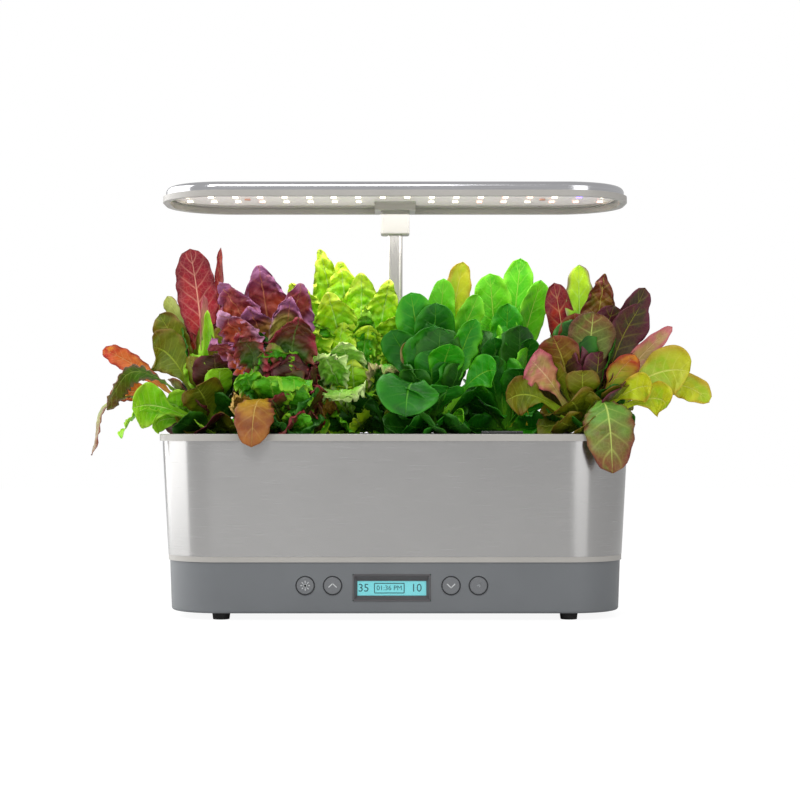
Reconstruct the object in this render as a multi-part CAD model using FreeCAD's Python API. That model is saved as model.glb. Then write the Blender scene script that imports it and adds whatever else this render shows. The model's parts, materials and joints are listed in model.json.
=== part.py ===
import FreeCAD, Part
import math
import os

# Countertop hydroponic garden, in millimetres. X runs to the right, Y to the back, Z up.
# The origin is on the table, under the middle of the base.

Vec = FreeCAD.Vector
OUT = "parts"
os.makedirs(OUT, exist_ok=True)

# Driving sizes of the body, seen from above as rounded rectangles
rim_width = 442.0
rim_depth = 150.0
rim_corner = 62.0
rim_height = 6.4
rim_edge_round = 1.2
rim_band = 14.0
deck_ledge = 3.0
deck_ledge_height = 2.0

# Driving heights, from the table up
foot_height = 6.6
base_height = 47.0
trim_height = 5.0
wrap_height = 105.8
hood_gap = 216.7
hood_lip_height = 5.5
hood_shell_height = 8.4

# Driving steps between the stacked outlines
rim_overhang = 2.6
wall_taper = 5.4
trim_step = 0.3
base_step = 1.3
base_draw = 1.6

# Walls and sheets
base_wall = 3.2
base_top_wall = 2.4
base_edge_round = 2.6
cover_thickness = 2.5
trim_band = 16.0
wrap_sheet = 0.8
wrap_seam = 0.8
bowl_wall = 2.2
deck_thickness = 3.0

# Clearances. A cutting solid passes the face that it opens by 1 mm, or by wall_pass through a wall.
loose_fit = 0.3
snug_fit = 0.15
running_fit = 0.05
drop_in_fit = 0.4
pin_fit = 0.02
float_fit = 0.08
thread_ease = 0.1
weld_overlap = 0.5
wall_pass = 5.0

# Feet and case screws
foot_radius = 8.5
foot_draw = 0.9
foot_x = 160.5
foot_y = 45.0
boss_radius = 4.5
boss_pilot = 1.5
boss_x = 130.0
boss_y = 50.0
boss_middle_y = -28.0
screw_head_radius = 2.9
screw_head_height = 1.4
screw_length = 14.0
screw_slot = 0.7
case_screw_length = 12.0

# Controls on the front of the base
control_x = -2.9
control_z = 32.3
button_pitch = 25.0
button_first = 54.1
button_radius = 7.8
button_proud = 0.9
button_dome = 0.6
button_travel = 0.8
button_seat = 0.5
button_flange = 2.2
button_flange_height = 1.2
button_stem_radius = 2.0
button_stem_length = 2.6
ring_wall = 0.8
ring_proud = 0.4
ring_depth = 2.0
switch_side = 6.0
switch_height = 3.0
display_width = 71.3
display_height = 24.8
display_drop = 1.9
display_corner = 2.0
glass_width = 63.0
glass_height = 13.4
glass_drop = 0.9
bezel_depth = 4.6
bezel_rim = 1.2
window_thickness = 1.2
window_lap = 1.5
board_thickness = 1.6
board_width = 190.0
board_height = 34.0
board_screw_edge = 7.0
board_screw_lift = 4.0
board_post_radius = 2.8

# Power inlet in the back wall
inlet_x = 105.0
inlet_z = 24.0
inlet_width = 13.0
inlet_height = 11.0
inlet_length = 13.0
inlet_bore = 3.2
inlet_pin = 1.0
inlet_nose = 4.6
inlet_back_wall = 2.0

# Telescopic mast
mast_back = 25.0
inner_mast_width = 14.6
inner_mast_depth = 9.8
inner_mast_corner = 3.6
inner_mast_wall = 1.6
outer_mast_wall = 2.0
mast_gap = 0.4
outer_mast_top = 205.0
mast_rise = 88.0
mast_hold = 60.0
mast_room_gap = 2.0
socket_wall = 2.5
socket_floor = 3.0
collar_wall = 1.6
collar_height = 9.0
collar_cap = 3.0
glide_height = 10.0
lead_radius = 2.8
lead_passage = 3.2
well_gap = 1.5
mast_tab_side = 5.5
mast_tab_front = 4.5
head_width = 28.2
head_depth = 20.0
head_height = 23.0
head_socket = 20.0
head_round = 2.0
head_corner = 3.0

# Lamp hood
hood_width = 436.0
hood_depth = 144.0
hood_corner = 60.0
shell_inset = 2.8
shell_sheet = 1.0
shell_round = 5.0
neck_wall = 2.0
neck_height = 9.5
pocket_step = 0.4
shelf_width = 3.4
shelf_thickness = 2.0
lens_recess = 4.8
lens_thickness = 1.2
led_board_thickness = 1.6
spreader_thickness = 1.5
led_columns = 18
led_pitch_x = 23.3
led_rows = 3
led_pitch_y = 33.0
led_side = 5.0
led_height = 0.8
led_edge = 6.0
tab_width = 39.5
tab_reach = 19.0
hood_screw_x = 141.0
hood_screw_y = 20.0
hood_screw_forward = 6.0
hood_stud_wall = 2.0
head_screw_x = 10.5

# Grow deck, pods and fill door
pod_pitch = 70.0
pod_row = 26.0
pod_hole = 18.0
basket_wall = 1.2
basket_depth = 62.0
basket_taper = 5.5
basket_flange = 3.0
basket_flange_height = 1.2
basket_slots = 6
basket_slot_width = 3.0
basket_slot_foot = 6.0
basket_slot_head = 30.0
sponge_height = 42.0
collar_disc_thickness = 1.0
collar_hole = 7.0
crown_radius = 5.5
crown_height = 14.0
crown_flare = 2.0
door_x = 100.0
door_y = -40.0
door_width = 44.0
door_length = 26.0
door_thickness = 1.6
door_ledge = 3.0
hinge_radius = 2.0
hinge_pin_radius = 0.9
hinge_span = 26.0
hinge_ear = 6.0
hinge_back = 2.0
hinge_post = 2.0
hinge_web = 3.0
grip_width = 12.0
grip_depth = 2.0
grip_height = 1.2

# Float gauge, pump and water channel
float_x = 136.0
float_y = -38.0
float_radius = 9.0
float_height = 14.0
float_travel = 26.5
stem_radius = 3.0
stem_flange_radius = 6.0
stem_flange_height = 3.0
stem_clip_radius = 5.5
stem_clip_height = 2.0
pump_x = -105.0
pump_y = 30.0
pump_width = 44.0
pump_depth = 36.0
pump_height = 34.0
pump_corner = 3.0
chamber_radius = 13.0
chamber_depth = 14.0
impeller_gap = 1.0
impeller_end_gap = 0.5
impeller_hub = 4.0
impeller_disc = 1.5
impeller_blade = 1.6
impeller_blades = 6
axle_radius = 1.5
axle_seat = 4.0
pump_cover_thickness = 3.0
pump_slot = 3.0
pump_slot_pitch = 5.0
pump_slot_height = 15.6
pump_cover_frame = 2.0
foam_thickness = 8.0
riser_radius = 4.6
riser_wall = 1.2
riser_seat = 5.0
riser_proud = 1.0
channel_width = 10.0
channel_length = 300.0
channel_height = 8.0
channel_wall = 1.5
dock_width = 26.0
dock_depth = 14.0
dock_flange = 3.0
dock_flange_height = 2.0

# Leaves
stalk_spread = 2.5
stalk_low = 3.0
stalk_step = 0.37
leaf_thickness = 1.3
leaf_fold = 0.22
leaf_gap = 1.2
leaf_floor_gap = 1.4
leaf_stations = [(0.0, 0.12), (0.22, 0.24), (0.42, 0.66), (0.62, 1.0), (0.82, 0.92), (0.94, 0.52)]

# Levels worked out from the driving heights
base_z = foot_height
base_top_z = base_z + base_height
trim_top_z = base_top_z + trim_height
rim_z = trim_top_z + wrap_height
rim_top_z = rim_z + rim_height
deck_z = rim_z + deck_ledge_height
deck_top_z = deck_z + deck_thickness
cover_top_z = base_z + cover_thickness
plate_z = base_top_z - base_top_wall
hood_z = rim_top_z + hood_gap
shoulder_z = hood_z + hood_lip_height
hood_top_z = shoulder_z + hood_shell_height
lens_z = hood_z + lens_recess
shelf_z = lens_z + lens_thickness
board_z = shelf_z + shelf_thickness
spreader_z = board_z + led_board_thickness
spreader_top_z = spreader_z + spreader_thickness
head_z = hood_z - head_height
crown_z = deck_top_z + basket_flange_height + collar_disc_thickness

# Places worked out from the driving sizes
mast_y = rim_depth / 2 - mast_back
tab_front = mast_y - tab_reach
board_screw_x = board_width / 2 - board_screw_edge
board_screw_z = board_height / 2 - board_screw_lift

# Outlines worked out from the rim, as insets
wrap_top_inset = rim_overhang
wrap_base_inset = wrap_top_inset + wall_taper
trim_inset = wrap_base_inset + trim_step
base_top_inset = trim_inset + base_step
base_inset = base_top_inset + base_draw


def outline(width, depth, corner, inset, z):
    """A rounded rectangle, drawn in by inset, as a closed wire at height z."""
    a = width / 2 - inset
    b = depth / 2 - inset
    r = corner - inset
    s = r * math.sqrt(0.5)
    edges = []
    for sx, sy in ((1, 1), (-1, 1), (-1, -1), (1, -1)):
        cx = sx * (a - r)
        cy = sy * (b - r)
        side_end = Vec(sx * a, cy, z)
        flat_end = Vec(cx, sy * b, z)
        middle = Vec(cx + sx * s, cy + sy * s, z)
        first, last = (side_end, flat_end) if sx * sy > 0 else (flat_end, side_end)
        edges.append(Part.Arc(first, middle, last).toShape())
    closed = []
    for k, arc in enumerate(edges):
        following = edges[(k + 1) % 4]
        closed.append(arc)
        closed.append(Part.LineSegment(arc.Vertexes[-1].Point, following.Vertexes[0].Point).toShape())
    return Part.Wire(closed)


def body_outline(inset, z):
    """The body's outline, drawn in from the rim."""
    return outline(rim_width, rim_depth, rim_corner, inset, z)


def hood_outline(inset, z):
    """The hood's outline, drawn in from its bezel."""
    return outline(hood_width, hood_depth, hood_corner, inset, z)


def between(low, high):
    """A solid with straight sides from one outline up to another."""
    return Part.makeLoft([low, high], True, True)


def body_block(inset, z0, z1):
    return between(body_outline(inset, z0), body_outline(inset, z1))


def hood_block(inset, z0, z1):
    return between(hood_outline(inset, z0), hood_outline(inset, z1))


def box(x0, x1, y0, y1, z0, z1):
    """A box between its low and high corners."""
    return Part.makeBox(x1 - x0, y1 - y0, z1 - z0, Vec(x0, y0, z0))


def post(x, y, z0, z1, radius):
    """An upright cylinder."""
    return Part.makeCylinder(radius, z1 - z0, Vec(x, y, z0))


def rod_y(x, z, y0, y1, radius):
    """A cylinder that runs from front to back."""
    return Part.makeCylinder(radius, y1 - y0, Vec(x, y0, z), Vec(0, 1, 0))


def rod_x(y, z, x0, x1, radius):
    """A cylinder that runs from left to right."""
    return Part.makeCylinder(radius, x1 - x0, Vec(x0, y, z), Vec(1, 0, 0))


def bar(width, depth, corner, z0, z1, x=0.0, y=0.0):
    """An upright bar with a rounded rectangle for its section."""
    solid = between(outline(width, depth, corner, 0, z0), outline(width, depth, corner, 0, z1))
    solid.translate(Vec(x, y, 0))
    return solid


def rounded(solid, radius, chosen):
    """Rounds the edges that a test picks."""
    return solid.makeFillet(radius, [edge for edge in solid.Edges if chosen(edge)])


def at_level(z):
    """A test for edges that lie flat at height z."""
    def test(edge):
        box_of = edge.BoundBox
        return abs(box_of.ZMin - z) < 0.01 and abs(box_of.ZMax - z) < 0.01
    return test


def save(node, *solids):
    """Writes one node, which may be a group of like solids."""
    shape = solids[0] if len(solids) == 1 else Part.makeCompound(list(solids))
    shape.exportStep(os.path.join(OUT, node + ".step"))
    valid = all(solid.isValid() for solid in shape.Solids)
    print(f"{node:22s} solids {len(shape.Solids):3d}  volume {shape.Volume:12.1f}  valid {valid}")
    return shape


def front_y(z):
    """How far forward the drafted front wall of the base stands at height z."""
    share = (z - base_z) / base_height
    return -(rim_depth / 2 - base_inset + share * base_draw)


def pod_places():
    """The six pods stand in two staggered rows, the first one at the back left."""
    return [((k - 2.5) * pod_pitch, pod_row if k % 2 == 0 else -pod_row) for k in range(6)]


def button_places():
    return [control_x - button_first - button_pitch, control_x - button_first,
            control_x + button_first, control_x + button_first + button_pitch]


# Base
button_bore = button_radius + loose_fit
ring_radius = button_bore + ring_wall
display_z = control_z - display_drop
boss_places = [(sx * boss_x, sy * boss_y) for sx in (-1, 1) for sy in (-1, 1)] + [(0, boss_middle_y)]
foot_places = [(sx * foot_x, sy * foot_y) for sx in (-1, 1) for sy in (-1, 1)]
outer_mast_width = inner_mast_width + 2 * (mast_gap + outer_mast_wall)
outer_mast_depth = inner_mast_depth + 2 * (mast_gap + outer_mast_wall)
outer_mast_corner = inner_mast_corner + mast_gap + outer_mast_wall
wall_face_y = front_y(control_z)
inner_face_y = wall_face_y + base_wall + button_seat
flange_back_y = inner_face_y + button_flange_height
stem_back_y = flange_back_y + button_stem_length
switch_front_y = stem_back_y + button_travel + loose_fit
board_front_y = switch_front_y + switch_height
board_back_y = board_front_y + board_thickness


def mast_hole(grow, z0, z1):
    """The space that the outer mast takes in a piece that it passes, with a clearance."""
    return bar(outer_mast_width + 2 * grow, outer_mast_depth + 2 * grow, outer_mast_corner + grow,
               z0, z1, 0, mast_y)


def make_base_shell():
    outer = between(body_outline(base_inset, base_z), body_outline(base_top_inset, base_top_z))
    outer = rounded(outer, base_edge_round, at_level(base_z))
    cavity = between(body_outline(base_inset + base_wall, base_z),
                     body_outline(base_top_inset + base_wall, plate_z))
    shell = outer.cut(cavity)
    for x, y in boss_places:
        shell = shell.fuse(post(x, y, cover_top_z, plate_z, boss_radius))
    for x, y in boss_places:
        shell = shell.cut(post(x, y, cover_top_z, cover_top_z + screw_length, boss_pilot))
    for side in (-1, 1):
        for level in (-1, 1):
            x = control_x + side * board_screw_x
            z = display_z + level * board_screw_z
            shell = shell.fuse(rod_y(x, z, front_y(z) + base_wall / 2, board_front_y, board_post_radius))
    for x in button_places():
        shell = shell.cut(rod_y(x, control_z, wall_face_y - wall_pass, inner_face_y, ring_radius + running_fit))
    half = display_width / 2 + snug_fit
    high = display_height / 2 + snug_fit
    shell = shell.cut(box(control_x - half, control_x + half, wall_face_y - wall_pass, inner_face_y,
                          display_z - high, display_z + high))
    shell = shell.cut(rod_y(inlet_x, inlet_z, 0, rim_depth, inlet_nose + snug_fit))
    shell = shell.cut(mast_hole(loose_fit, plate_z - 1, base_top_z + 1))
    return shell.cut(box(pump_x - dock_width / 2 - loose_fit, pump_x + dock_width / 2 + loose_fit,
                         pump_y - dock_depth / 2 - loose_fit, pump_y + dock_depth / 2 + loose_fit,
                         plate_z - 1, base_top_z + 1))


def make_bottom_cover():
    cover = body_block(base_inset + base_wall + loose_fit, base_z, cover_top_z)
    for x, y in boss_places:
        cover = cover.cut(post(x, y, base_z - 1, cover_top_z + 1, boss_pilot + loose_fit))
        cover = cover.cut(post(x, y, base_z - 1, base_z + screw_head_height, screw_head_radius + loose_fit))
    return cover


def screw(x, y, z, length, shank, up=1.0):
    """A slotted screw with its head at z and its shank pointing up or down."""
    axis = Vec(0, 0, up)
    head = Part.makeCylinder(screw_head_radius, screw_head_height, Vec(x, y, z), axis)
    shank_solid = Part.makeCylinder(shank, length, Vec(x, y, z), axis)
    slot_deep = screw_head_height / 2
    low = z if up > 0 else z - slot_deep
    slot = box(x - screw_head_radius, x + screw_head_radius, y - screw_slot / 2, y + screw_slot / 2,
               low, low + slot_deep)
    return head.fuse(shank_solid).cut(slot)


def make_button(x):
    """A domed cap in its bore, a flange that keeps it in and a stem towards its switch."""
    cap_front = wall_face_y - button_proud
    cap = rod_y(x, control_z, cap_front, flange_back_y, button_radius)
    cap = rounded(cap, button_dome, lambda edge: abs(edge.BoundBox.YMax - cap_front) < 0.01)
    flange = rod_y(x, control_z, inner_face_y + loose_fit, flange_back_y, ring_radius + button_flange)
    stem = rod_y(x, control_z, flange_back_y - button_flange_height / 2, stem_back_y, button_stem_radius)
    return cap.fuse(flange).fuse(stem).removeSplitter()


def make_button_ring(x):
    front = wall_face_y - ring_proud
    outer = rod_y(x, control_z, front, wall_face_y + ring_depth, ring_radius)
    return outer.cut(rod_y(x, control_z, front - 1, wall_face_y + ring_depth + 1, button_bore))


def make_switch(x):
    half = switch_side / 2
    return box(x - half, x + half, switch_front_y, board_front_y, control_z - half, control_z + half)


display_front_y = wall_face_y - 0.2
window_y = display_front_y + bezel_depth


def make_display_bezel():
    """A tray whose four sides slope in to the window."""
    half = display_width / 2
    high = display_height / 2
    body = box(control_x - half, control_x + half, display_front_y, window_y, display_z - high, display_z + high)
    body = rounded(body, display_corner, lambda edge: edge.BoundBox.YLength > bezel_depth - 0.1)
    glass_z = display_z - glass_drop
    wires = []
    for y, w, h, z in ((display_front_y - 0.01, half - bezel_rim, high - bezel_rim, display_z),
                       (window_y + 0.01, glass_width / 2, glass_height / 2, glass_z)):
        corners = [Vec(control_x - w, y, z - h), Vec(control_x + w, y, z - h),
                   Vec(control_x + w, y, z + h), Vec(control_x - w, y, z + h)]
        wires.append(Part.makePolygon(corners + corners[:1]))
    return body.cut(Part.makeLoft(wires, True, True))


def display_plate(y0, y1, lap):
    glass_z = display_z - glass_drop
    half = glass_width / 2 + lap
    high = glass_height / 2 + lap
    return box(control_x - half, control_x + half, y0, y1, glass_z - high, glass_z + high)


def make_control_board():
    half = board_width / 2
    board = box(control_x - half, control_x + half, board_front_y, board_back_y,
                display_z - board_height / 2, display_z + board_height / 2)
    for side in (-1, 1):
        for level in (-1, 1):
            x = control_x + side * board_screw_x
            z = display_z + level * board_screw_z
            board = board.cut(rod_y(x, z, board_front_y - 1, board_back_y + 1, boss_pilot + snug_fit))
    return board


def make_board_screw(side, level):
    x = control_x + side * board_screw_x
    z = display_z + level * board_screw_z
    head = rod_y(x, z, board_back_y, board_back_y + screw_head_height, screw_head_radius)
    shank = rod_y(x, z, board_front_y, board_back_y, boss_pilot)
    return head.fuse(shank)


def make_power_inlet():
    """A barrel inlet: a block inside the wall, a nose through it and a pin in its bore."""
    wall_y = rim_depth / 2 - base_top_inset
    back = wall_y - base_draw - base_wall - loose_fit
    body = box(inlet_x - inlet_width / 2, inlet_x + inlet_width / 2, back - inlet_length, back,
               inlet_z - inlet_height / 2, inlet_z + inlet_height / 2)
    nose = rod_y(inlet_x, inlet_z, back - 1, wall_y - base_draw, inlet_nose)
    bore = rod_y(inlet_x, inlet_z, back - inlet_length + inlet_back_wall, wall_y + 1, inlet_bore)
    body = body.fuse(nose).cut(bore)
    pin = rod_y(inlet_x, inlet_z, back - inlet_length + 1, wall_y - base_draw - 1, inlet_pin)
    return body.fuse(pin)


def make_inlet_foot():
    """The bracket that carries the inlet on the bottom cover."""
    wall_y = rim_depth / 2 - base_top_inset
    back = wall_y - base_draw - base_wall - loose_fit
    return box(inlet_x - inlet_width / 2, inlet_x + inlet_width / 2, back - inlet_length, back,
               cover_top_z, inlet_z - inlet_height / 2)


def make_trim_ring():
    ring = body_block(trim_inset, base_top_z, trim_top_z)
    hole = body_block(trim_inset + trim_band, base_top_z - 1, trim_top_z + 1)
    return ring.cut(hole).cut(mast_hole(loose_fit, base_top_z - 1, trim_top_z + 1))


def make_pump_dock():
    """The contact block that lifts power through the top of the base to the pump."""
    block = box(pump_x - dock_width / 2, pump_x + dock_width / 2,
                pump_y - dock_depth / 2, pump_y + dock_depth / 2, plate_z, trim_top_z)
    half = dock_width / 2 + dock_flange
    deep = dock_depth / 2 + dock_flange
    flange = box(pump_x - half, pump_x + half, pump_y - deep, pump_y + deep, plate_z - dock_flange_height, plate_z)
    return block.fuse(flange)


# Mast
socket_width = outer_mast_width + 2 * (snug_fit + socket_wall)
socket_depth = outer_mast_depth + 2 * (snug_fit + socket_wall)
socket_corner = outer_mast_corner + snug_fit + socket_wall
mast_foot_z = cover_top_z + socket_floor
inner_foot_z = outer_mast_top - mast_rise - mast_hold
inner_top_z = head_z + head_socket


def make_mast_socket():
    block = bar(socket_width, socket_depth, socket_corner, cover_top_z, plate_z, 0, mast_y)
    block = block.cut(mast_hole(snug_fit, mast_foot_z, plate_z + 1))
    return block.cut(post(0, mast_y, cover_top_z - 1, mast_foot_z + 1, lead_passage))


def make_outer_mast():
    tube = bar(outer_mast_width, outer_mast_depth, outer_mast_corner, mast_foot_z, outer_mast_top, 0, mast_y)
    bore = bar(inner_mast_width + 2 * mast_gap, inner_mast_depth + 2 * mast_gap, inner_mast_corner + mast_gap,
               mast_foot_z - 1, outer_mast_top + 1, 0, mast_y)
    return tube.cut(bore)


def make_mast_collar():
    grow = snug_fit + collar_wall
    low = outer_mast_top - collar_height + collar_cap
    collar = bar(outer_mast_width + 2 * grow, outer_mast_depth + 2 * grow, outer_mast_corner + grow,
                 low, outer_mast_top + collar_cap, 0, mast_y)
    collar = collar.cut(mast_hole(snug_fit, low - 1, outer_mast_top))
    bore = bar(inner_mast_width + 2 * loose_fit, inner_mast_depth + 2 * loose_fit, inner_mast_corner + loose_fit,
               low - 1, outer_mast_top + collar_cap + 1, 0, mast_y)
    return collar.cut(bore)


def make_inner_mast():
    tube = bar(inner_mast_width, inner_mast_depth, inner_mast_corner, inner_foot_z, inner_top_z, 0, mast_y)
    bore = bar(inner_mast_width - 2 * inner_mast_wall, inner_mast_depth - 2 * inner_mast_wall,
               inner_mast_corner - inner_mast_wall, inner_foot_z - 1, inner_top_z + 1, 0, mast_y)
    return tube.cut(bore)


def make_mast_glide():
    """The nylon foot of the inner mast, which runs in the outer one."""
    grow = mast_gap - loose_fit
    foot = bar(inner_mast_width + 2 * grow, inner_mast_depth + 2 * grow, inner_mast_corner + grow,
               inner_foot_z - glide_height, inner_foot_z, 0, mast_y)
    return foot.cut(post(0, mast_y, inner_foot_z - glide_height - 1, inner_foot_z + 1, lead_passage))


def make_mast_head():
    head = bar(head_width, head_depth, head_corner, head_z, hood_z, 0, mast_y)
    head = rounded(head, head_round, at_level(head_z))
    socket = bar(inner_mast_width + 2 * snug_fit, inner_mast_depth + 2 * snug_fit, inner_mast_corner + snug_fit,
                 head_z - 1, inner_top_z, 0, mast_y)
    head = head.cut(socket).cut(post(0, mast_y, head_z, hood_z + 1, lead_passage))
    for side in (-1, 1):
        head = head.cut(post(side * head_screw_x, mast_y, hood_z - screw_length, hood_z + 1, boss_pilot))
    return head


def make_lamp_lead():
    return post(0, mast_y, cover_top_z + 1, board_z, lead_radius)


# Lamp hood
neck_inset = shell_inset + shell_sheet + loose_fit
lip_inset = neck_inset + neck_wall
lens_inset = lip_inset + loose_fit
shelf_inset = lip_inset + shelf_width
pocket_inset = lip_inset + pocket_step
board_inset = pocket_inset + loose_fit
hood_screw_places = [(sx * hood_screw_x, sy * hood_screw_y - hood_screw_forward)
                     for sx in (-1, 1) for sy in (-1, 1)]


def tab_block(grow, z0, z1):
    """The bezel's tab over the mast, which the panels are cut back from."""
    half = tab_width / 2 + grow
    return box(-half, half, tab_front - grow, hood_depth / 2 - lip_inset + grow + weld_overlap, z0, z1)


def make_hood_bezel():
    outer = hood_block(0, hood_z, shoulder_z).fuse(hood_block(neck_inset, shoulder_z, hood_z + neck_height))
    outer = outer.cut(hood_block(lip_inset, hood_z - 1, shelf_z))
    outer = outer.cut(hood_block(shelf_inset, shelf_z - 0.01, board_z + 0.01))
    outer = outer.cut(hood_block(pocket_inset, board_z, hood_top_z))
    outer = outer.fuse(tab_block(0, hood_z, board_z))
    for side in (-1, 1):
        outer = outer.cut(post(side * head_screw_x, mast_y, hood_z - 1, board_z + 1, boss_pilot + loose_fit))
    return outer.cut(post(0, mast_y, hood_z - 1, board_z + 1, lead_passage)).removeSplitter()


def make_hood_shell():
    outer = rounded(hood_block(shell_inset, shoulder_z, hood_top_z), shell_round, at_level(hood_top_z))
    inner = hood_block(shell_inset + shell_sheet, shoulder_z - 1, hood_top_z - shell_sheet)
    inner = rounded(inner, shell_round - shell_sheet, at_level(hood_top_z - shell_sheet))
    shell = outer.cut(inner)
    for x, y in hood_screw_places:
        stud = post(x, y, spreader_top_z, hood_top_z - shell_sheet / 2, boss_pilot + hood_stud_wall)
        pilot = post(x, y, spreader_top_z - 1, hood_top_z - shell_sheet, boss_pilot + thread_ease)
        shell = shell.fuse(stud.cut(pilot))
    return shell


def make_lens():
    lens = hood_block(lens_inset, lens_z, shelf_z).cut(tab_block(drop_in_fit, lens_z - 1, shelf_z + 1))
    return lens


def make_led_board():
    board = hood_block(board_inset, board_z, spreader_z).cut(tab_block(drop_in_fit, board_z - 1, spreader_z + 1))
    for x, y in hood_screw_places:
        board = board.cut(post(x, y, board_z - 1, spreader_z + 1, boss_pilot + snug_fit))
    return board


def make_heat_spreader():
    plate = hood_block(board_inset, spreader_z, spreader_top_z)
    plate = plate.cut(tab_block(drop_in_fit, spreader_z - 1, spreader_top_z + 1))
    for x, y in hood_screw_places:
        plate = plate.cut(post(x, y, spreader_z - 1, spreader_top_z + 1, boss_pilot + snug_fit))
    return plate


def led_places():
    """A grid of lamps, without those off the board's rounded corners, at a screw or over the tab."""
    half_x = hood_width / 2 - board_inset - led_edge
    half_y = hood_depth / 2 - board_inset - led_edge
    r = hood_corner - board_inset - led_edge
    places = []
    for column in range(led_columns):
        for row in range(led_rows):
            x = (column - (led_columns - 1) / 2) * led_pitch_x
            y = (row - (led_rows - 1) / 2) * led_pitch_y
            over_x = max(0, abs(x) - (half_x - r))
            over_y = max(0, abs(y) - (half_y - r))
            off_corner = math.hypot(over_x, over_y) > r
            on_tab = abs(x) < tab_width / 2 + led_edge and y > tab_front - led_edge
            if not off_corner and not on_tab:
                places.append((x, y))
    return places


def make_led(x, y):
    half = led_side / 2
    return box(x - half, x + half, y - half, y + half, board_z - led_height, board_z)


# Bowl, deck and pods
bowl_inset_low = wrap_base_inset + wrap_sheet + loose_fit
bowl_inset_high = wrap_top_inset + wrap_sheet + loose_fit
well_half = outer_mast_width / 2 + well_gap
well_front = mast_y - outer_mast_depth / 2 - well_gap
tab_half = outer_mast_width / 2 + mast_tab_side
tab_edge = mast_y - outer_mast_depth / 2 - mast_tab_front


def make_steel_wrap():
    outer = between(body_outline(wrap_base_inset, trim_top_z), body_outline(wrap_top_inset, rim_z))
    inner = between(body_outline(wrap_base_inset + wrap_sheet, trim_top_z),
                    body_outline(wrap_top_inset + wrap_sheet, rim_z))
    seam = box(-wrap_seam / 2, wrap_seam / 2, 0, rim_depth, trim_top_z - 1, rim_z + 1)
    return outer.cut(inner).cut(seam)


def make_water_bowl():
    """A tank with a well at the back, where the mast stands outside the water."""
    outer = between(body_outline(bowl_inset_low, trim_top_z), body_outline(bowl_inset_high, rim_z))
    outer = outer.cut(box(-well_half, well_half, well_front, rim_depth, trim_top_z - 1, rim_z + 1))
    inner = between(body_outline(bowl_inset_low + bowl_wall, trim_top_z + bowl_wall),
                    body_outline(bowl_inset_high + bowl_wall, rim_z))
    inner = inner.cut(box(-well_half - bowl_wall, well_half + bowl_wall, well_front - bowl_wall, rim_depth,
                          trim_top_z - 1, rim_z + 1))
    return outer.cut(inner)


def make_rim():
    rim = rounded(body_block(0, rim_z, rim_top_z), rim_edge_round, at_level(rim_top_z))
    rim = rim.cut(body_block(rim_band, deck_z, rim_top_z + 1))
    rim = rim.cut(body_block(rim_band + deck_ledge, rim_z - 1, deck_z + 1))
    tab = box(-tab_half, tab_half, tab_edge, rim_depth / 2 - rim_band + 1, rim_z, rim_top_z - rim_edge_round)
    return rim.fuse(tab).cut(mast_hole(loose_fit, rim_z - 1, rim_top_z + 1))


hinge_y = door_y + door_length / 2 - hinge_back
hinge_z = deck_top_z + hinge_radius + loose_fit
door_low_z = deck_top_z - door_thickness


def make_deck():
    deck = body_block(rim_band + drop_in_fit, deck_z, deck_top_z)
    deck = deck.cut(box(-tab_half - drop_in_fit, tab_half + drop_in_fit, tab_edge - drop_in_fit, rim_depth,
                        deck_z - 1, deck_top_z + 1))
    for x, y in pod_places():
        deck = deck.cut(post(x, y, deck_z - 1, deck_top_z + 1, pod_hole))
    half = door_width / 2
    low = door_y - door_length / 2
    high = door_y + door_length / 2
    deck = deck.cut(box(door_x - half, door_x + half, low, high, door_low_z - 2 * loose_fit, deck_top_z + 1))
    deck = deck.cut(box(door_x - half + door_ledge, door_x + half - door_ledge, low + door_ledge, high,
                        deck_z - 1, deck_top_z))
    for side in (-1, 1):
        near = hinge_span / 2 + loose_fit
        x0 = door_x + (near if side > 0 else -near - hinge_ear)
        ear = rod_x(hinge_y, hinge_z, x0, x0 + hinge_ear, hinge_radius)
        web = box(x0, x0 + hinge_ear, hinge_y, high + hinge_post, deck_top_z + loose_fit, hinge_z)
        foot = box(x0, x0 + hinge_ear, high, high + hinge_post, deck_top_z, hinge_z)
        ear = ear.fuse(web).fuse(foot)
        deck = deck.fuse(ear.cut(rod_x(hinge_y, hinge_z, x0 - 1, x0 + hinge_ear + 1, hinge_pin_radius + pin_fit)))
    return deck


def make_fill_door():
    half = door_width / 2 - loose_fit
    low = door_y - door_length / 2 + loose_fit
    high = door_y + door_length / 2 - loose_fit
    plate = box(door_x - half, door_x + half, low, high, door_low_z, deck_top_z)
    grip = box(door_x - grip_width / 2, door_x + grip_width / 2, low, low + grip_depth,
               deck_top_z, deck_top_z + grip_height)
    knuckle = rod_x(hinge_y, hinge_z, door_x - hinge_span / 2, door_x + hinge_span / 2, hinge_radius)
    web = box(door_x - hinge_span / 2, door_x + hinge_span / 2,
              hinge_y - hinge_web / 2, hinge_y + hinge_web / 2, deck_top_z, hinge_z)
    door = plate.fuse(grip).fuse(web).fuse(knuckle)
    bore = rod_x(hinge_y, hinge_z, door_x - hinge_span, door_x + hinge_span, hinge_pin_radius + running_fit)
    return door.cut(bore)


def make_hinge_pin():
    reach = hinge_span / 2 + loose_fit + hinge_ear
    return rod_x(hinge_y, hinge_z, door_x - reach, door_x + reach, hinge_pin_radius)


basket_low_z = deck_top_z - basket_depth
basket_top_radius = pod_hole - drop_in_fit
basket_low_radius = basket_top_radius - basket_taper


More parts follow.
